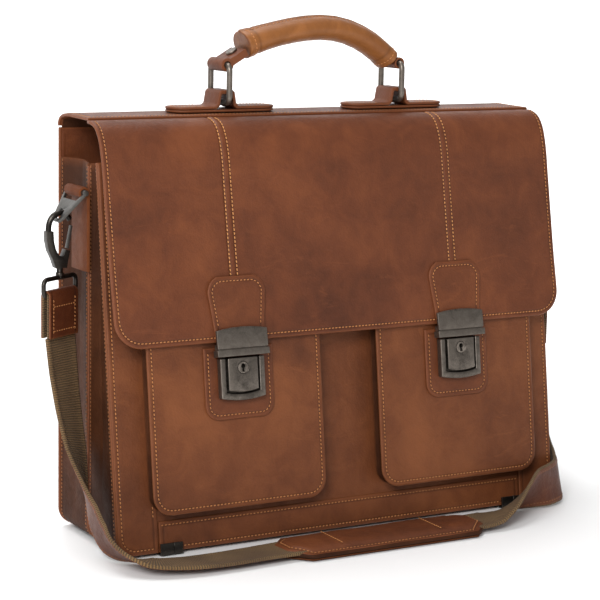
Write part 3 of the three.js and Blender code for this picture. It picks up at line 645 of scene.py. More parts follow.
def tube(name, path, radius, look, body, closed=False, sides=14):
    """Round wire along a path of bag millimetres."""
    path = np.asarray(path, float)
    count = len(path)
    ahead = np.roll(path, -1, 0) - np.roll(path, 1, 0)
    if not closed:
        ahead[0], ahead[-1] = path[1] - path[0], path[-1] - path[-2]
    along = unit(ahead)
    radius = np.broadcast_to(radius, count)
    start = np.cross(along[0], (0.31, 0.87, 0.38))
    frames = []
    side = unit(start)
    for t in along:
        side = unit(side - t * (side @ t))
        frames.append((side, np.cross(t, side)))
    verts = []
    for p, (a, b), r in zip(path, frames, radius):
        for k in range(sides):
            q = 2 * math.pi * k / sides
            verts.append(p + a * math.cos(q) * r + b * math.sin(q) * r)
    faces = []
    last = count if closed else count - 1
    for i in range(last):
        for k in range(sides):
            o, m = (k + 1) % sides, (i + 1) % count
            faces.append((i * sides + k, m * sides + k, m * sides + o, i * sides + o)[::-1])
    if not closed:
        faces.append(tuple(range(sides))[::-1])
        faces.append(tuple((count - 1) * sides + k for k in range(sides)))
    return make(name, at(verts), faces, look, body, angle=60)


def spline(points, steps):
    """Centripetal Catmull-Rom through the points, as evenly counted places between them."""
    p = np.asarray(points, float)
    first, last = 2 * p[0] - p[1], 2 * p[-1] - p[-2]
    q = np.vstack([first, p, last])
    out = []
    for m in range(steps + 1):
        t = m / steps * (len(p) - 1)
        k = min(int(t), len(p) - 2)
        f = t - k
        a, b, c, d = q[k:k + 4]
        ta = 0.0
        tb = ta + max(np.linalg.norm(b - a), 1e-6) ** 0.5
        tc = tb + max(np.linalg.norm(c - b), 1e-6) ** 0.5
        td = tc + max(np.linalg.norm(d - c), 1e-6) ** 0.5
        u = tb + (tc - tb) * f
        ab = a * (tb - u) / (tb - ta) + b * (u - ta) / (tb - ta)
        bc = b * (tc - u) / (tc - tb) + c * (u - tb) / (tc - tb)
        cd = c * (td - u) / (td - tc) + d * (u - tc) / (td - tc)
        abc = ab * (tc - u) / (tc - ta) + bc * (u - ta) / (tc - ta)
        bcd = bc * (td - u) / (td - tb) + cd * (u - tb) / (td - tb)
        out.append(abc * (tc - u) / (tc - tb) + bcd * (u - tb) / (tc - tb))
    return np.array(out)


def resample(points, count):
    points = np.asarray(points, float)
    s = lengths_along(points)
    q = np.linspace(0, s[-1], count)
    return sampled(q, s, points)


# ---- shoulder strap -----------------------------------------------------------------

STRAP_LEFT = [
    (-224, 9, 164.8, -0.866, -0.5, 0), (-222.8, 5.5, 138, -0.84, -0.54, 0),
    (-221.5, -1.5, 108, -0.78, -0.62, 0), (-220.5, -12.5, 80, -0.72, -0.7, 0.1),
    (-220, -27, 54, -0.45, -0.75, 0.4), (-219.5, -43, 34, -0.2, -0.7, 0.6), (-217.5, -60, 20, -0.2, -0.7, 0.6),
    (-210, -77, 11.5, -0.4, -0.7, 0.4), (-194, -92, 6.5, -0.4, -0.85, 0.12),
    (-171, -99.5, 5, -0.15, -0.97, 0.08), (-140, -101.5, 4.5, 0, -1, 0.05), (-105, -100, 4.5, 0, -1, 0.05),
    (-60, -98, 4.5, 0, -1, 0), (5.7, -98, 4.5, 0, -1, 0),
]
STRAP_RIGHT = [
    (224, 9, 127.2, 0, 1, 0), (224, 8, 100, 0, 1, -0.05), (223.5, 3, 72, 0, 0.95, -0.3),
    (222.5, -8, 46, 0, 0.75, -0.66), (220, -26, 30, 0.06, 0.35, -0.93), (215.5, -46, 22.8, 0.14, 0, -1),
    (205.5, -64, 21.2, 0.15, -0.15, -1), (190, -73, 20.2, 0, -0.05, -1), (171, -78.5, 19.8, 0, 0.25, -0.97),
    (150, -86, 16, 0, 0.7, -0.71), (128, -94.5, 9.8, 0, 0.94, -0.33), (112, -97.6, 5.8, 0, 1, -0.04),
    (98, -98, 4.5, 0, 1, 0), (60, -98, 4.5, 0, 1, 0), (6.3, -98, 4.5, 0, 1, 0),
]


def ribbon(route, steps):
    """Centre points, width direction and face normal along a strap route."""
    route = np.asarray(route, float)
    centre = spline(route[:, :3], steps)
    along = unit(np.gradient(centre, axis=0))
    t = np.linspace(0, len(route) - 1, steps + 1)
    wide = np.stack([np.interp(t, np.arange(len(route)), route[:, 3 + k]) for k in range(3)], 1)
    wide = unit(wide - along * (wide * along).sum(1, keepdims=True))
    return centre, wide, unit(np.cross(wide, along)), along


def strap_half(name, node, route, steps):
    """Thick-edged webbing with a leather backing, in one closed section along the route."""
    centre, wide, face, along = ribbon(route, steps)
    s = lengths_along(centre)
    w = WEB_HALF
    section = [
        (-w, 0.9), (-w + 0.4, 1.75), (-w + 1.6, 2.25), (-w + 3.6, 2.2), (-w + 4.6, 1.6), (-w / 2, 1.7), (0, 1.75),
        (w / 2, 1.7), (w - 4.6, 1.6), (w - 3.6, 2.2), (w - 1.6, 2.25), (w - 0.4, 1.75), (w, 0.9),
        (w - 0.4, -0.4), (w - 2, -0.7), (0, -0.75), (-w + 2, -0.7), (-w + 0.4, -0.4),
    ]
    count = len(section)
    verts, uvs, faces = [], [], []
    for i in range(len(centre)):
        for a, b in section:
            verts.append(centre[i] + wide[i] * a + face[i] * b)
            uvs.append((a + 19, s[i]))
    for i in range(len(centre) - 1):
        for k in range(count):
            o = (k + 1) % count
            faces.append((i * count + k, i * count + o, (i + 1) * count + o, (i + 1) * count + k))
    faces.append(tuple(range(count))[::-1])
    faces.append(tuple((len(centre) - 1) * count + k for k in range(count)))
    cloth = make(name, at(verts), faces, WEBBING, None, uvs=uvs, angle=60)
    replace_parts(cloth, node)
    back = centre - face * 0.9
    across = np.linspace(-16.4, 16.4, 9)
    grid = back[:, None, :] + wide[:, None, :] * across[None, :, None] - face[:, None, :] * 0.05
    lining = skin(name + "_backing", grid, 1.1, HIDE_STRAP, None, flip=True)
    for side in (-1, 1):
        line = back + wide * side * 14.2 - face * 0.1
        sew_queue(line, -face, name)
    return cloth, lining, centre


STRAP_STITCHES = {}


def sew_queue(points, normals, name):
    STRAP_STITCHES.setdefault(name, []).append((points, normals))


def free_stitches(name, rows, pitch=3.4):
    """Stitches as one mesh with no parent."""
    groups = []
    for points, normals in rows:
        s = lengths_along(points)
        q = np.arange(2, s[-1] - 2, pitch)
        pick = lambda a: sampled(q, s, a)
        where, n = pick(points), unit(pick(normals))
        along = unit(sampled(q + 0.5, s, points) - where)
        side = unit(np.cross(n, along))
        verts = []
        for f, fat, lift in ((-1, 0.3, -0.3), (-0.6, 0.9, 0.0), (0.6, 0.9, 0.0), (1, 0.3, -0.3)):
            for k in range(6):
                a = math.pi * k / 3
                rise = n * (math.sin(a) * 0.3 * fat + lift)
                verts.append(where + along * f * 1.25 + side * math.cos(a) * 0.4 * fat + rise)
        groups.append(np.stack(verts, 1))
    verts = np.concatenate(groups)
    one = [f[::-1] for f in hexagon_faces(3)]
    one += [(0, 1, 2, 3, 4, 5), (23, 22, 21, 20, 19, 18)]
    faces = [tuple(i + 24 * m for i in f) for m in range(len(verts)) for f in one]
    return make(name, at(verts.reshape(-1, 3)), faces, THREAD_DARK, None)


def add_straps():
    made = {}
    for name, route, steps in (("left", STRAP_LEFT, 150), ("right", STRAP_RIGHT, 130)):
        cloth, lining, centre = strap_half(f"strap_{name}_webbing", f"strap_{name}", route, steps)
        seams = free_stitches(f"strap_{name}_stitches", STRAP_STITCHES[f"strap_{name}_webbing"])
        for piece in (cloth, lining, seams):
            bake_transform(piece)
        made[name] = (cloth, lining, seams, centre)
    return made


def pad_surface(x0, x1, y0, y1, cut):
    """Rows along Y and columns along X of the pad's top, with clipped corners."""
    ys = ticks(y0, y1, step=4, reach=18)
    xs = ticks(x0, x1, step=6, reach=18)
    grid = np.zeros((len(ys), len(xs), 2))
    for i, y in enumerate(ys):
        pull = max(0, cut - min(y - y0, y1 - y))
        u = (xs - (x0 + x1) / 2) / ((x1 - x0) / 2)
        grid[i, :, 0] = (x0 + x1) / 2 + u * ((x1 - x0) / 2 - pull)
        grid[i, :, 1] = y
    return grid


def add_pad():
    """Two leather faces round the webbing, crowned over it, stitched near the rim."""
    x0, x1, y0, y1 = 6 - 92.5, 6 + 92.5, -98 - 26, -98 + 26
    grid = pad_surface(x0 + 1, x1 - 1, y0 + 1, y1 - 1, 15)
    pts = grid.reshape(-1, 2)
    d = distance_to(border(grid), pts).reshape(grid.shape[:2])
    x, y = grid[..., 0], grid[..., 1]
    over = np.clip(1 - (np.abs(y + 98) / 21) ** 4, 0, 1)
    top = 6.0 + 3.6 * over * np.clip(d / 7, 0, 1) ** 0.7 + groove(d, 4, 0.5, 1.1)
    top += 0.25 * np.sin(x * 0.09 + 0.6) * np.cos(y * 0.13)
    # The stitch groove is darkened: pressed leather plus painted shade.
    seam = np.clip(np.exp(-(((d - 4) / 1.1) ** 2)), 0, 1) * 0.8
    upper = skin("shoulder_pad_top", np.stack([x, y, top], -1), 2.0, HIDE_C, "body", seam=seam)
    low = np.stack([x, y, 2.0 + 0.0 * x], -1)
    # Underside and filling take the darker leather that paints the shade under the pad's crown.
    lower = skin("shoulder_pad_base", low, 1.3, HIDE_SHADED, "body")
    wall = border(grid)
    path = [(p[0], p[1], 4.1) for p in wall]
    ring = tube(
        "shoulder_pad_filling", path, 1.7, HIDE_SHADED, "body", closed=True, sides=10
    )
    inner = pad_surface(x0 + 5, x1 - 5, y0 + 5, y1 - 5, 13.4)
    outline = border(inner)
    over = np.clip(1 - (np.abs(outline[:, 1] + 98) / 21) ** 4, 0, 1)
    z = 6.0 + 3.6 * over * (4 / 7) ** 0.7 - 0.28
    line = np.column_stack([outline, z])
    sew(np.vstack([line, line[:1]]), (0, 0, 1), "body", pitch=3.2)
    for x in (-40.0, 52.0):
        bar = [(x, -98 + k, 9.75) for k in np.linspace(-17, 17, 12)]
        sew(np.array(bar), (0, 0, 1), "body", pitch=3.2)
    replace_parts(upper, "shoulder_pad")
    return upper, lower, ring


# ---- body ---------------------------------------------------------------------------


def add_panels():
    back = plane(57.2, 0, 0, outward=1)
    grid = flat_grid(-HALF_W, HALF_W, 0.9, 322, (15, 0))
    panel("back_panel_leather", back, grid, 0, 2.6, HIDE, "body", node="back_panel", flip=True)
    sew_flat(back, frame_path(-HALF_W, HALF_W, 0, 322, 15, 1, 4, False), -0.2, "body")
    mid = plane(0, 0, 0)
    grid = flat_grid(-HALF_W, HALF_W, 0.9, 297, (15, 0), step=14)
    panel("divider_leather", mid, grid, 1.2, 2.4, HIDE_C, "body", node="divider")
    grid = flat_grid(-HALF_W, HALF_W, 2.2, 303.8, (15, 0), step=12)
    panel("front_panel_leather", FRONT, grid, 0, 2.6, HIDE_B, "body", node="front_panel")
    sew_flat(FRONT, [(-160, 299.8), (160, 299.8)], 0, "body")
    for name, side in SIDES:
        x0, x1 = sorted((side * 170, side * 204.7))
        grid = strip_grid(x0, x1, 2.2, 303.5, side)
        panel(f"side_strip_{name}_leather", FRONT, grid, 1.9, 1.6, HIDE_B, "body", node=f"side_strip_{name}")
        inner = side * 174
        sew_flat(FRONT, [(inner, 30), (inner, 301)], 1.9 - 0.25, "body")
        outer = frame_side(side, 204.7, 2.2, 303.5, 15, 4)
        sew_flat(FRONT, outer, 1.9 - 0.25, "body")
    grid = flat_grid(-169.7, 169.7, 2.2, 27, (0, 0), step=14)
    panel("bottom_band_leather", FRONT, grid, 1.9, 1.6, HIDE_B, "body", node="bottom_band")
    sew_flat(FRONT, [(-168, 23.6), (168, 23.6)], 1.65, "body")
    sew_flat(FRONT, [(-149, 6), (149, 6)], 1.65, "body")


def strip_grid(x0, x1, h0, h1, side):
    """The upright strip: only its outer low corner is rounded."""
    grid = flat_grid(x0, x1, h0, h1, (0, 0), step=12)
    r, inset = 15.0, 1.0
    for row in grid:
        gap = row[0, 1] - h0 - inset
        if gap < r - inset:
            q = r - inset
            pull = q - math.sqrt(max(q * q - (q - gap) ** 2, 0))
            a, b = row[0, 0], row[-1, 0]
            u = (row[:, 0] - a) / (b - a)
            row[:, 0] = a + u * (b - a - pull) if side > 0 else a + pull + u * (b - a - pull)
    return grid


def frame_side(side, x, h0, h1, r, d):
    """The stitch line down one outer side and round its low corner."""
    q = r - d
    path = [(x - d, h1 - 3), (x - d, h0 + r)]
    path += arc(x - r, h0 + r, q, 0, -90)
    path += [(174, h0 + d)]
    return [(side * a, b) for a, b in path]


def gusset(name, node, front_at, back_at, bow, look):
    """A compartment's side-bottom-side strip, sunk between the panels and softly creased."""
    w, low, top, r = 203.7, 1.3, 299.0, 13.7
    side = [(-w, h) for h in np.linspace(top - 0.8, low + r, 46)]
    side += arc(-w + r, low + r, r, 180, 270, 9)[1:]
    side += [(x, low) for x in np.linspace(-w + r, w - r, 40)[1:]]
    side += arc(w - r, low + r, r, 270, 360, 9)[1:]
    side += [(w, h) for h in np.linspace(low + r, top - 0.8, 46)[1:]]
    side = np.array(side)
    along = unit(np.gradient(side, axis=0))
    inward = np.column_stack([-along[:, 1], along[:, 0]])
    v = np.array(sorted(set(np.round(np.concatenate([np.linspace(0, 1, 25), [0.03, 0.97]]), 4))))
    rows = []
    for k, (x, z) in enumerate(side):
        y0, y1 = front_at(z) + 0.8, back_at(z) - 0.8
        on_side = np.clip((z - 26) / 60, 0, 1)
        upper = np.clip((z - 60) / 200, 0, 1)
        depth = bow * on_side * (0.35 + 0.65 * upper) * np.sin(np.pi * v) ** 1.3
        depth += 0.7 * on_side * np.exp(-(((v - 0.5) / 0.05) ** 2))
        fold = np.exp(-(((v - 0.5) / 0.22) ** 2)) * np.exp(-(((z - 34) / 9) ** 2)) * 1.2 * (abs(x) > 190)
        depth = depth + fold + 0.35 * np.sin(z * 0.055 + v * 5) * on_side * np.sin(np.pi * v)
        edge = np.minimum(v, 1 - v) * (y1 - y0)
        depth += 0.3 * np.exp(-(((edge - 4) / 1.0) ** 2))
        y = y0 + v * (y1 - y0)
        rows.append(np.column_stack([x + inward[k, 0] * depth, y, z + inward[k, 1] * depth]))
    p = np.array(rows)
    piece = skin(name, p, 2.2, look, "body")
    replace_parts(piece, node)
    for index in (0, 1):
        line = np.array([row[2] if index == 0 else row[-3] for row in rows])
        normals = np.column_stack([-inward[:, 0], np.zeros(len(side)), -inward[:, 1]])
        look_up = {tuple(np.round(p, 3)): n for p, n in zip(line, normals)}
        keys = np.array(list(look_up))
        pick = lambda q: look_up[tuple(keys[np.argmin(((keys - q) ** 2).sum(1))])]
        sew(line + normals * 0.05, pick, "body", look=THREAD_DARK)
    return piece


def front_inside(z):
    """How far forward the front gusset reaches at height z."""
    return FRONT_Y + 2.9 / math.cos(FRONT_TILT) + z * math.tan(FRONT_TILT)


def add_gussets():
    # Both gussets take the darker leather that paints the shade of the bag's sides.
    gusset("rear_gusset_leather", "rear_gusset", lambda z: 1.5, lambda z: 54.3, 6.5, HIDE_SHADED)
    gusset("front_gusset_leather", "front_gusset", front_inside, lambda z: -1.5, 4.0, HIDE_SHADED)


def add_pockets():
    for name, side in SIDES:
        x0, x1 = sorted((side * 26, side * 179))
        grid = flat_grid(x0, x1, 32, 172, (16, 0), step=8)
        node = f"pocket_front_{name}"
        panel(f"{node}_leather", FRONT, grid, 15.6, 2.4, HIDE_B, "body", node=node)
        sew_flat(FRONT, frame_path(x0, x1, 32, 172, 16, 0.6, 4, False), 15.6 - 0.25, "body")
        pocket_wall(name, x0, x1)
        px0, px1 = sorted((side * LOCK_X - 30.5, side * LOCK_X + 30.5))
        grid = flat_grid(px0, px1, 101, 158, (12, 0), step=6)
        panel(f"lock_patch_{name}_leather", FRONT, grid, 17.9, 2.0, HIDE_C, "body", node=f"lock_patch_{name}")
        sew_flat(FRONT, frame_path(px0, px1, 101, 158, 12, 0.6, 4, False), 17.9 - 0.25, "body", size=0.4)


def pocket_wall(name, x0, x1):
    """The pocket's gusset: a strip round three sides, pinched a little inward."""
    x0, x1, low, top, r = x0 + 2, x1 - 2, 34.0, 171.0, 14.0
    path = [(x0, h) for h in np.linspace(top - 0.8, low + r, 24)]
    path += arc(x0 + r, low + r, r, 180, 270, 8)[1:]
    path += [(x, low) for x in np.linspace(x0 + r, x1 - r, 22)[1:]]
    path += arc(x1 - r, low + r, r, 270, 360, 8)[1:]
    path += [(x1, h) for h in np.linspace(low + r, top - 0.8, 24)[1:]]
    path = np.array(path)
    along = unit(np.gradient(path, axis=0))
    inward = np.column_stack([-along[:, 1], along[:, 0]])
    v = np.linspace(0, 1, 11)
    rows = []
    for (x, h), n in zip(path, inward):
        depth = 1.4 * np.sin(np.pi * v)
        out = 12.9 - 0.7 - v * (12.9 - 2.2 - 1.4)
        rows.append(FRONT(x + n[0] * depth, h + n[1] * depth, out))
    # The pocket gusset takes the darker leather that paints the shade between pocket and front.
    piece = skin(f"pocket_gusset_{name}_leather", np.array(rows), 2.2, HIDE_SHADED, "body")
    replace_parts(piece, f"pocket_gusset_{name}")


# ---- top, flap and handle keepers ---------------------------------------------------

TOP_LINE = [
    (58.4, 322.6), (58.2, 326), (55.6, 330), (50.5, 332.6), (41, 334), (27, 333.9), (12, 333.7), (-0.2, 333.6),
]
FLAP_LINE = [
    (-56.3, 163), (-50.4, 190.5), (-44.5, 218), (-39, 247), (-33.2, 278),
    (-28, 304.5), (-22.5, 319.5), (-16, 327.5), (-8, 331), (-0.9, 331.6),
]


def profile_surface(points, outward):
    """A bent sheet: (x, s, o) is across, along the profile from its first point, and out of it."""
    fine = spline(np.array([(0, *p) for p in points]), 240)[:, 1:]
    s = lengths_along(fine)
    along = unit(np.gradient(fine, axis=0))
    normal = np.column_stack([along[:, 1], -along[:, 0]]) * outward

    def place(x, h, o):
        x, h, o = np.broadcast_arrays(np.asarray(x, float), np.asarray(h, float), np.asarray(o, float))
        y = np.interp(h, s, fine[:, 0]) + np.interp(h, s, normal[:, 0]) * o
        z = np.interp(h, s, fine[:, 1]) + np.interp(h, s, normal[:, 1]) * o
        return np.stack([x, y, z], -1)

    return place, float(s[-1])


def add_lines_to(xs, places):
    extra = [p + d for p in places for d in (-3.6, -2.2, -1.4, -0.7, 0, 0.7, 1.4, 2.2, 3.6)]
    return np.array(sorted(set(np.round(np.concatenate([xs, extra]), 4))))


def add_fold(name, line, flip):
    """A soft inner strip along a leather hinge that closes its gap from inside."""
    rows = resample([(0, y, z) for y, z in line], 15)
    xs = ticks(-HALF_W + 3, HALF_W - 3, step=18)
    p = np.array([[(x, y, z) for x in xs] for _, y, z in rows])
    # The strip takes the darker leather that paints the shade inside the hinge gap.
    piece = skin(name, p, 0.9, HIDE_SHADED, None, flip=flip)
    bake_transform(piece)


def add_folds():
    back = [(55.7, 309), (55.7, 320), (55.6, 323), (54.9, 326.6), (53.4, 329.3)]
    add_fold("back_fold", back, True)
    front = [(-12, 326.3), (-8, 327.9), (-4, 328.7), (0, 329.6), (2.6, 330.5), (5.2, 330.9)]
    add_fold("flap_fold", front, False)


def add_flap():
    face, length = profile_surface(FLAP_LINE, -1)
    w, r, inset = 206.0, 22.0, 1.1
    hs = ticks(inset, length, (True, False), step=4.5, reach=24)
    lines = [side * LOCK_X + d for side in (-1, 1) for d in (-3, 3)]
    xs = add_lines_to(ticks(-w + inset, w - inset, step=8, reach=24), lines)
    x = np.zeros((len(hs), len(xs)))
    for i, h in enumerate(hs):
        gap, q = h - inset, r - inset
        pull = q - math.sqrt(max(q * q - (q - gap) ** 2, 0)) if gap < q else 0
        half = w - inset
        zone = half - 40
        u = np.sign(xs) * np.maximum(np.abs(xs) - zone, 0) / 40
        x[i] = np.where(np.abs(xs) > zone, np.sign(xs) * zone + u * (40 - pull), xs)
    h = np.broadcast_to(hs[:, None], x.shape)
    flat = np.stack([x, h], -1)
    outline = border(flat)
    d = distance_to(outline, flat.reshape(-1, 2)).reshape(x.shape)
    lift = groove(d, 3, 0.34, 0.9) * (h < length - 8)
    for place in lines:
        lift = lift + groove(np.abs(x - place), 0, 0.36, 0.9)
    lift = lift + 0.45 * np.exp(-((np.abs(np.abs(x) - LOCK_X) / 2.0) ** 4))
    lift = lift - 0.25 * np.clip(1 - d / 2.2, 0, 1) ** 2 * (h < length - 8)
    # The flap's grooves are darkened along their depth: pressed leather plus painted shade.
    seam = np.clip(-lift / 0.36, 0, 1) * (d > 1.6)
    sag = 0.9 * np.sin(x * 0.013 + 0.8) * np.sin(np.pi * h / length) + 0.5 * np.sin(x * 0.031 + h * 0.02)
    lift = lift + sag * np.clip(d / 30, 0, 1)
    piece = skin("flap_leather", face(x, h, lift), 2.6, HIDE, "flap", seam=seam)
    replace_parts(piece, "flap")
    edge = frame_path(-w, w, 0, length - 1, r, 1, 4, False)
    rows = [edge] + [[(place, 4), (place, length - 2)] for place in lines]
    for path in rows:
        path = resample(path, 260)
        pts = face(path[:, 0], path[:, 1], 0.0)
        n = face(path[:, 0], path[:, 1], 1.0) - pts
        pick = lambda q, pts=pts, n=n: n[np.argmin(((pts - q) ** 2).sum(1))]
        upright = abs(path[0, 0] - path[-1, 0]) < 1
        look, size = (THREAD_BRIGHT, 0.55) if upright else (THREAD, 0.48)
        sew(pts - n * 0.12, pick, "flap", look=look, size=size)


def add_top():
    face, length = profile_surface(TOP_LINE, 1)
    inset = 1.0
    hs = ticks(inset, length - inset, step=3.5)
    xs = ticks(-HALF_W + inset, HALF_W - inset, step=9)
    x, h = np.meshgrid(xs, hs)
    d = distance_to(border(np.stack([x, h], -1)), np.stack([x, h], -1).reshape(-1, 2)).reshape(x.shape)
    lift = groove(d, 3, 0.3, 0.9) - 0.25 * np.clip(1 - d / 2.2, 0, 1) ** 2
    # The stitch groove is darkened along its depth: pressed leather plus painted shade.
    seam = np.clip(-lift / 0.34, 0, 1) * (d > 1.6)
    p = face(x, h, lift)
    piece = skin("top_panel_leather", p, 2.4, HIDE, "top", seam=seam, flip=True)
    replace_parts(piece, "top_panel")
    for h0, a, b in ((length - 4, -200, 200), (4, -200, 200)):
        path = np.array([(t, h0) for t in np.linspace(a, b, 60)])
        pts = face(path[:, 0], path[:, 1], -0.15)
        n = face(0, h0, 1) - face(0, h0, 0)
        sew(pts, n, "top")
    for side in (-201, 201):
        path = np.array([(side, t) for t in np.linspace(4, length - 4, 60)])
        pts = face(path[:, 0], path[:, 1], -0.15)
        n = face(path[:, 0], path[:, 1], 1.0) - face(path[:, 0], path[:, 1], 0.0)
        pick = lambda q, pts=pts, n=n: n[np.argmin(((pts - q) ** 2).sum(1))]
        sew(pts, pick, "top")
    board = copy_of("top_stiffener", BOARD, "top", 0.4)
    return board


def stadium_grid(x, half_len, half_wid, across=15):
    """Rows along Y, columns along X of a round-ended strap."""
    ys = np.concatenate([RING_Y - half_wid * np.cos(np.linspace(0.06, math.pi - 0.06, across))])
    us = np.concatenate([np.linspace(-1, -0.8, 10), np.linspace(-0.8, 0.8, 66)[1:-1], np.linspace(0.8, 1, 10)])
    grid = np.zeros((len(ys), len(us), 2))
    for i, y in enumerate(ys):
        reach = half_len - half_wid + math.sqrt(max(half_wid ** 2 - (y - RING_Y) ** 2, 0))
        grid[i, :, 0] = x + us * reach
        grid[i, :, 1] = y
    return grid


def add_keepers():
    for name, side in SIDES:
        x = side * RING_X
        base = stadium_grid(x, 46, 12.6)
        p = np.stack([base[..., 0], base[..., 1], np.full(base.shape[:2], 336.5)], -1)
        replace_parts(skin(f"keeper_base_{name}_leather", p, 2.0, HIDE_C, "top"), f"keeper_base_{name}")
        piece = copy_of(f"keeper_strap_{name}", HIDE_C, "top", 0.7, 3, smooth=50)
        mark_rims(piece, 1.0)
        for sgn in (-1, 1):
            a, b = x + sgn * 18.5, x + sgn * 43.2
            c = b - sgn * 8.7
            bend = np.linspace(-math.pi / 2, math.pi / 2, 9)
            turn = [(c + sgn * 8.7 * math.cos(t), RING_Y + 8.7 * math.sin(t)) for t in bend]
            path = [(a, RING_Y - 8.7)] + turn + [(a, RING_Y + 8.7)]
            sew(np.array([(u, v, 338.95) for u, v in path]), (0, 0, 1), "top", pitch=3.0)


def mark_rims(piece, strength):
    """Narrow faces of a copied strap read as burnished rims: those whose way out lies along Y."""
    mesh = piece.data
    count = len(mesh.vertices)
    value = np.zeros(count)
    for v in mesh.vertices:
        value[v.index] = strength * min(1, max(0, abs(v.normal.y) * 1.6 - 0.35))
    layer = mesh.attributes.get("rim") or mesh.attributes.new("rim", "FLOAT", "POINT")
    layer.data.foreach_set("value", value.astype(np.float32))


def add_rings():
    for name, side in SIDES:
        x = side * RING_X
        r = 4.5
        y0, y1, z0, z1 = RING_Y - 16, RING_Y + 16, 341.5, 371.5
        loop = arc(y0 + r, z0 + r, r, 180, 270) + arc(y1 - r, z0 + r, r, 270, 360)
        loop += arc(y1 - r, z1 - r, r, 0, 90) + arc(y0 + r, z1 - r, r, 90, 180)
        pts = [(x, a, b) for a, b in loop]
        pts = resample(pts + pts[:1], 73)[:-1]
        ring = tube(f"handle_ring_{name}_wire", pts, 2.35, METAL, f"ring_{name}", closed=True)
        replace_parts(ring, f"handle_ring_{name}")


GRIP_LINE = [
    (-61.5, 386.6), (-48, 390.5), (-30, 395), (-10, 398.5), (10, 400),
    (30, 398), (48, 392), (63, 383.8), (75.5, 373.9),
]


def grip_frame():
    """The grip's middle line with its way up, evenly spaced."""
    pts = resample(spline(np.array([(x, RING_Y, z) for x, z in GRIP_LINE], float), 12), 121)
    along = unit(np.gradient(pts, axis=0))
    return pts, np.column_stack([-along[:, 2], np.zeros(len(pts)), along[:, 0]])


GRIP_PTS, GRIP_UP = grip_frame()


def grip_middle(s):
    f = (s + 1) / 2 * 120
    k = int(min(119, max(0, math.floor(f))))
    w = f - k
    return GRIP_PTS[k] * (1 - w) + GRIP_PTS[k + 1] * w, unit(GRIP_UP[k] * (1 - w) + GRIP_UP[k + 1] * w)


def grip_point(s, a):
    """A point of the grip's skin: s from -1 to 1 along it, a round it from the +Y side upward."""
    centre, normal = grip_middle(s)
    flare = 1 + 0.2 * max(0, 1 - (s + 1) / 0.5) ** 2
    ridge = 1.5 * math.exp(-(((a - math.pi / 2) / 0.13) ** 2))
    belly = 1 + 0.03 * math.sin(3 * a)
    up = math.sin(a) * 9.5 * flare * belly
    return centre + normal * (up + ridge) + np.array([0, math.cos(a) * 14.4, 0]), normal


def add_grip():
    rows, sides = 90, 72
    ss = np.concatenate([[-1, -0.995, -0.985], np.linspace(-0.97, 0.97, rows), [0.985, 0.995, 1]])
    verts, seam, rim, faces = [], [], [], []
    for s in ss:
        dent = 0.5 * math.exp(-((abs(s) - 0.86) / 0.016) ** 2)
        for k in range(sides):
            a = 2 * math.pi * k / sides
            p, _ = grip_point(s, a)
            centre = grip_middle(s)[0]
            pull = 0.9 if abs(s) > 0.999 else 0.96 if abs(s) > 0.99 else 1.0
            verts.append(centre + (p - centre) * (1 - dent / 12) * pull)
            # The pinch near each end and the grooves beside the top ridge are darkened: pressed leather plus
            # painted shade.
            side_groove = math.exp(-(((abs(a - math.pi / 2)) - 0.2) / 0.05) ** 2)
            seam.append(min(1, dent * 1.6 + side_groove * 0.8))
            rim.append(1.0 if abs(s) > 0.99 else 0.9 * math.exp(-(((a - math.pi / 2) / 0.12) ** 2)))
    for i in range(len(ss) - 1):
        for k in range(sides):
            o = (k + 1) % sides
            faces.append((i * sides + k, (i + 1) * sides + k, (i + 1) * sides + o, i * sides + o)[::-1])
    faces.append(tuple(range(sides)))
    faces.append(tuple((len(ss) - 1) * sides + k for k in range(sides))[::-1])
    wear = {"seam": seam, "rim": rim}
    grip = make("handle_grip_leather", at(verts), faces, HIDE_GRIP, "handle", wear, angle=70)
    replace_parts(grip, "handle_grip")
    for off in (-0.2, 0.2):
        line = [grip_point(s, math.pi / 2 + off)[0] for s in np.linspace(-0.95, 0.95, 80)]
        sew(np.array(line), (0, 0, 1), "handle", pitch=3.3)
    for s in (-0.92, 0.93):
        turn = np.linspace(math.pi * 0.56, math.pi * 1.6, 30)
        line = np.array([grip_point(s, a)[0] for a in turn])
        normals = line - grip_middle(s)[0]
        pick = lambda q, line=line, normals=normals: normals[np.argmin(((line - q) ** 2).sum(1))]
        sew(line, pick, "handle", pitch=3.3)


def add_handle():
    add_keepers()
    add_rings()
    add_grip()
    for name, side in SIDES:
        piece = copy_of(f"handle_loop_{name}", HIDE_C, "handle", 0.6, 3, smooth=50)
        mark_rims(piece, 1.0)
    copy_of("handle_rivet", METAL, "handle", 0.7, 4, smooth=60)


# ---- locks and tabs -----------------------------------------------------------------


def tab_side(h):
    """Half the tab's width at height h up the leaf."""
    if h <= 38:
        return 21.5 + 4 * (h - 3) / 35
    t = min(1.0, (h - 38) / 13)
    return 25.5 - 13.5 * (1 - math.sqrt(max(0.0, 1 - t * t)))


def add_tabs():
    for name, side in SIDES:
        cx = side * LOCK_X
        left, right = (lambda h: cx - tab_side(h)), (lambda h: cx + tab_side(h))
        grid = flat_grid(cx - 25.5, cx + 25.5, 3, 51, (0, 0), left, right, step=6)
        panel(f"flap_tab_{name}_leather", LEAF, grid, 2.3, 2.0, HIDE_C, "flap", node=f"flap_tab_{name}")
        hs = np.concatenate([np.linspace(12, 38, 8), 38 + 13 * np.sin(np.linspace(0.1, math.pi / 2 - 0.02, 12))])
        half = [(tab_side(h), h) for h in hs]
        path = inward_path([(cx + a, b) for a, b in half] + [(cx - a, b) for a, b in half[::-1]], 4)
        sew_flat(LEAF, path, 2.3 - 0.25, "flap", size=0.4)


def inward_path(points, d):
    p = np.asarray(points, float)
    along = unit(np.gradient(p, axis=0))
    normal = np.column_stack([-along[:, 1], along[:, 0]])
    return [tuple(q) for q in p + normal * d]


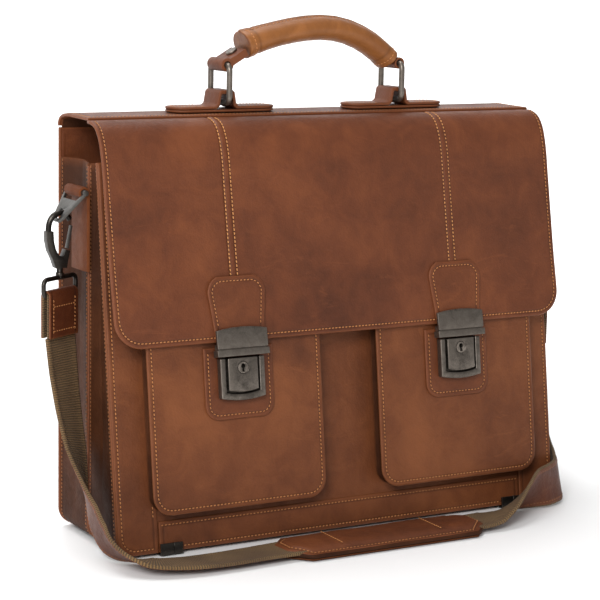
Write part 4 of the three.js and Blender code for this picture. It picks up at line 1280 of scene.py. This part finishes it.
def add_locks():
    for name, side in SIDES:
        copy_of(f"lock_case_{name}", METAL, "body", 0.9, 4, smooth=50)
        copy_of(f"push_plate_{name}", METAL, f"push_{name}", 0.7, 4, smooth=50)
        copy_of(f"key_barrel_{name}", METAL, f"key_{name}", 0.08, 2, smooth=50)
        copy_of(f"hasp_{name}", METAL, "flap", 0.8, 4, smooth=50)
        copy_of(f"foot_clip_{name}", METAL_DARK, "body", 0.35, 3, smooth=50)


# ---- side hangers -------------------------------------------------------------------


def turned(points, name, loop=False):
    """Points drawn for the left hanger, placed on this side; loop turns them about the upright first."""
    p = np.asarray(points, float)
    if loop:
        a = TURN[name]
        c, s = math.cos(a), math.sin(a)
        p = np.column_stack([p[:, 0] * c - p[:, 1] * s, p[:, 0] * s + p[:, 1] * c, p[:, 2]])
        p = p + np.array([-HOOK_X, 0, 0])
    if name == "right":
        p = p * np.array([-1, -1, 1])
    return p + np.array([0, SIDE_Y, 0])


def add_hangers():
    extras = {}
    for name, side in SIDES:
        body = f"hanger_{name}"
        tab = copy_of(f"ring_tab_{name}", HIDE_SIDE, "body", 0.8, 3, smooth=50)
        mark_rims(tab, 0.9)
        copy_of(f"ring_plate_{name}", METAL_WORN, body, 0.6, 3, smooth=50)
        hook = copy_of(f"snap_hook_{name}", METAL_DARK, body, 0.5, 3, smooth=60)
        gate = copy_of(f"hook_gate_{name}", METAL_WORN, f"gate_{name}", 0.4, 3, smooth=60)
        loop = add_loop(name, body)
        extras[name] = [hook, gate, *loop, *add_strap_end(name, body)]
    return extras


def add_loop(name, body):
    w, z0, z1, r = 20.4, 198, 211, 4.2
    loop = arc(-w + r, z0 + r, r, 180, 270) + arc(w - r, z0 + r, r, 270, 360)
    loop += arc(w - r, z1 - r, r, 0, 90) + arc(-w + r, z1 - r, r, 90, 180)
    pts = np.array([(0, a, b) for a, b in loop + loop[:1]])
    pts = turned(resample(pts, 81)[:-1], name, True)
    wire = tube(f"swivel_loop_{name}_wire", pts, 1.85, METAL_DARK, body, closed=True)
    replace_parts(wire, f"swivel_loop_{name}")
    post = [(0, 0, z) for z in (210.5, 212, 212.6, 214.4, 215, 218, 224)]
    post = turned(post, name, True)
    stem = tube(f"swivel_post_{name}", post, np.array([2.6, 2.7, 3.3, 3.3, 2.5, 2.5, 2.5]), METAL_DARK, body)
    return wire, stem


def add_strap_end(name, body):
    """Webbing and its leather facing folded round the loop and sewn below it."""
    low = 166 if name == "left" else 128
    inner, outer = 2.9, 4.5
    profile = [(outer, low), (outer, 196)]
    profile += [(outer * math.cos(t), 198.2 + outer * math.sin(t)) for t in np.linspace(0, math.pi, 17)]
    profile += [(-outer, 196), (-outer, low)]
    profile = resample(profile, 70)
    along = unit(np.gradient(profile, axis=0))
    normal = np.column_stack([along[:, 1], -along[:, 0]])
    made = []
    ys = ticks(-17.6, 17.6, step=3)
    grid = np.array([[(a, y, b) for y in ys] for a, b in profile])
    shape = grid.shape
    edge = np.minimum(np.abs(ys + 17.6), np.abs(ys - 17.6))
    press = groove(edge, 3, 0.35, 0.9)
    for k in range(shape[0]):
        grid[k, :, 0] += normal[k, 0] * press
        grid[k, :, 2] += normal[k, 1] * press
    # The stitch grooves are darkened along their depth: pressed leather plus painted shade.
    seam = np.broadcast_to(np.clip(-press / 0.35, 0, 1), shape[:2])
    world = turned(grid.reshape(-1, 3), name, True).reshape(shape)
    n = grid_normals(world)
    probe = world[5, shape[1] // 2] + n[5, shape[1] // 2]
    centre = turned(np.array([[0, 0, 180.0]]), name, True)[0]
    inwards = np.linalg.norm((probe - centre)[:2]) < np.linalg.norm((world[5, shape[1] // 2] - centre)[:2])
    facing = skin(
        f"strap_end_{name}_leather", world, 1.5, HIDE_STRAP, body, flip=bool(inwards), seam=seam
    )
    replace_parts(facing, f"strap_end_{name}")
    made.append(facing)
    core = profile - normal * 1.55
    ys = np.linspace(-WEB_HALF, WEB_HALF, 7)
    verts, uvs, faces = [], [], []
    s = lengths_along(core)
    layers = (0.0, 1.3)
    for k in range(len(core)):
        for q in layers:
            for y in ys:
                a, b = core[k] - normal[k] * q
                verts.append((a, y, b))
                uvs.append((y + 19, s[k]))
    per, c = 2 * len(ys), len(ys)
    for k in range(len(core) - 1):
        o, m = k * per, (k + 1) * per
        for j in range(c - 1):
            faces.append((o + j, o + j + 1, m + j + 1, m + j))
            faces.append((m + c + j, m + c + j + 1, o + c + j + 1, o + c + j))
        faces.append((o, m, m + c, o + c))
        faces.append((o + c - 1, o + per - 1, m + per - 1, m + c - 1))
    for k in (0, len(core) - 1):
        o = k * per
        for j in range(c - 1):
            faces.append((o + j, o + c + j, o + c + j + 1, o + j + 1))
    world = turned(verts, name, True)
    cloth = make(f"strap_end_{name}_webbing", at(world), faces, WEBBING, body, uvs=uvs, angle=50)
    made.append(cloth)
    for y in (-13.6, 13.6):
        for sgn in (-1, 1):
            line = turned([(sgn * outer, y, z) for z in np.linspace(low + 3, 196, 30)], name, True)
            way = turned([(sgn, 0, 0)], name, True)[0] - turned([(0, 0, 0)], name, True)[0]
            sew(line, way, body, size=0.42)
    for z in (low + 5, low + 24) if name == "left" else (low + 5, low + 60):
        for sgn in (-1, 1):
            line = turned([(sgn * outer, y, z) for y in np.linspace(-13.6, 13.6, 20)], name, True)
            way = turned([(sgn, 0, 0)], name, True)[0] - turned([(0, 0, 0)], name, True)[0]
            sew(line, way, body, size=0.42)
    return made


# ---- light and floor ----------------------------------------------------------------


def area_light(name, place, target, size, power, colour=(1, 1, 1)):
    data = bpy.data.lights.new(name, "AREA")
    data.shape = "RECTANGLE"
    data.size, data.size_y = size
    data.energy = power
    data.color = colour
    lamp = bpy.data.objects.new(name, data)
    bpy.context.scene.collection.objects.link(lamp)
    lamp.location = place
    lamp.rotation_mode = "QUATERNION"
    lamp.rotation_quaternion = (Vector(target) - Vector(place)).to_track_quat("-Z", "Y")
    return lamp


def add_studio():
    mesh = bpy.data.meshes.new("floor")
    verts, faces = [], []
    sweep = np.linspace(0.1, math.pi / 2, 12)
    rows = [(-6, 0), (3.5, 0)] + [(3.5 + 1.5 * math.sin(t), 1.5 - 1.5 * math.cos(t)) for t in sweep] + [(5, 6)]
    for y, z in rows:
        verts += [(-8, y, z - 0.0002), (8, y, z - 0.0002)]
    for k in range(len(rows) - 1):
        faces.append((2 * k, 2 * k + 1, 2 * k + 3, 2 * k + 2))
    mesh.from_pydata(verts, [], faces)
    mesh.shade_smooth()
    mesh.materials.append(floor_look("floor_white"))
    floor = bpy.data.objects.new("floor", mesh)
    bpy.context.scene.collection.objects.link(floor)
    world = bpy.data.worlds.new("studio")
    bpy.context.scene.world = world
    world.use_nodes = True
    world.node_tree.nodes["Background"].inputs["Color"].default_value = (1, 1, 1, 1)
    tree = world.node_tree
    path = tree.nodes.new("ShaderNodeLightPath")
    seen = tree.nodes.new("ShaderNodeMix")
    tree.links.new(path.outputs["Is Camera Ray"], seen.inputs[0])
    seen.inputs[2].default_value = 0.4
    seen.inputs[3].default_value = 1.0
    tree.links.new(seen.outputs[0], tree.nodes["Background"].inputs["Strength"])
    area_light("key", (-1.6, -1.8, 1.4), (0, 0, 0.2), (0.9, 0.9), 50)
    area_light("top", (-0.3, 0.6, 2.3), (0, 0, 0.1), (2.0, 1.4), 38)


# ---- build --------------------------------------------------------------------------

add_camera()
bpy.context.scene.view_settings.view_transform = "Standard"
straps = add_straps()
pad = add_pad()
add_panels()
add_gussets()
add_pockets()
add_flap()
add_top()
add_folds()
add_handle()
add_tabs()
add_locks()
extras = add_hangers()
buckle = copy_of("slide_buckle", METAL_DARK, "body", 0.6, 3, smooth=50)
make_stitches()
add_studio()
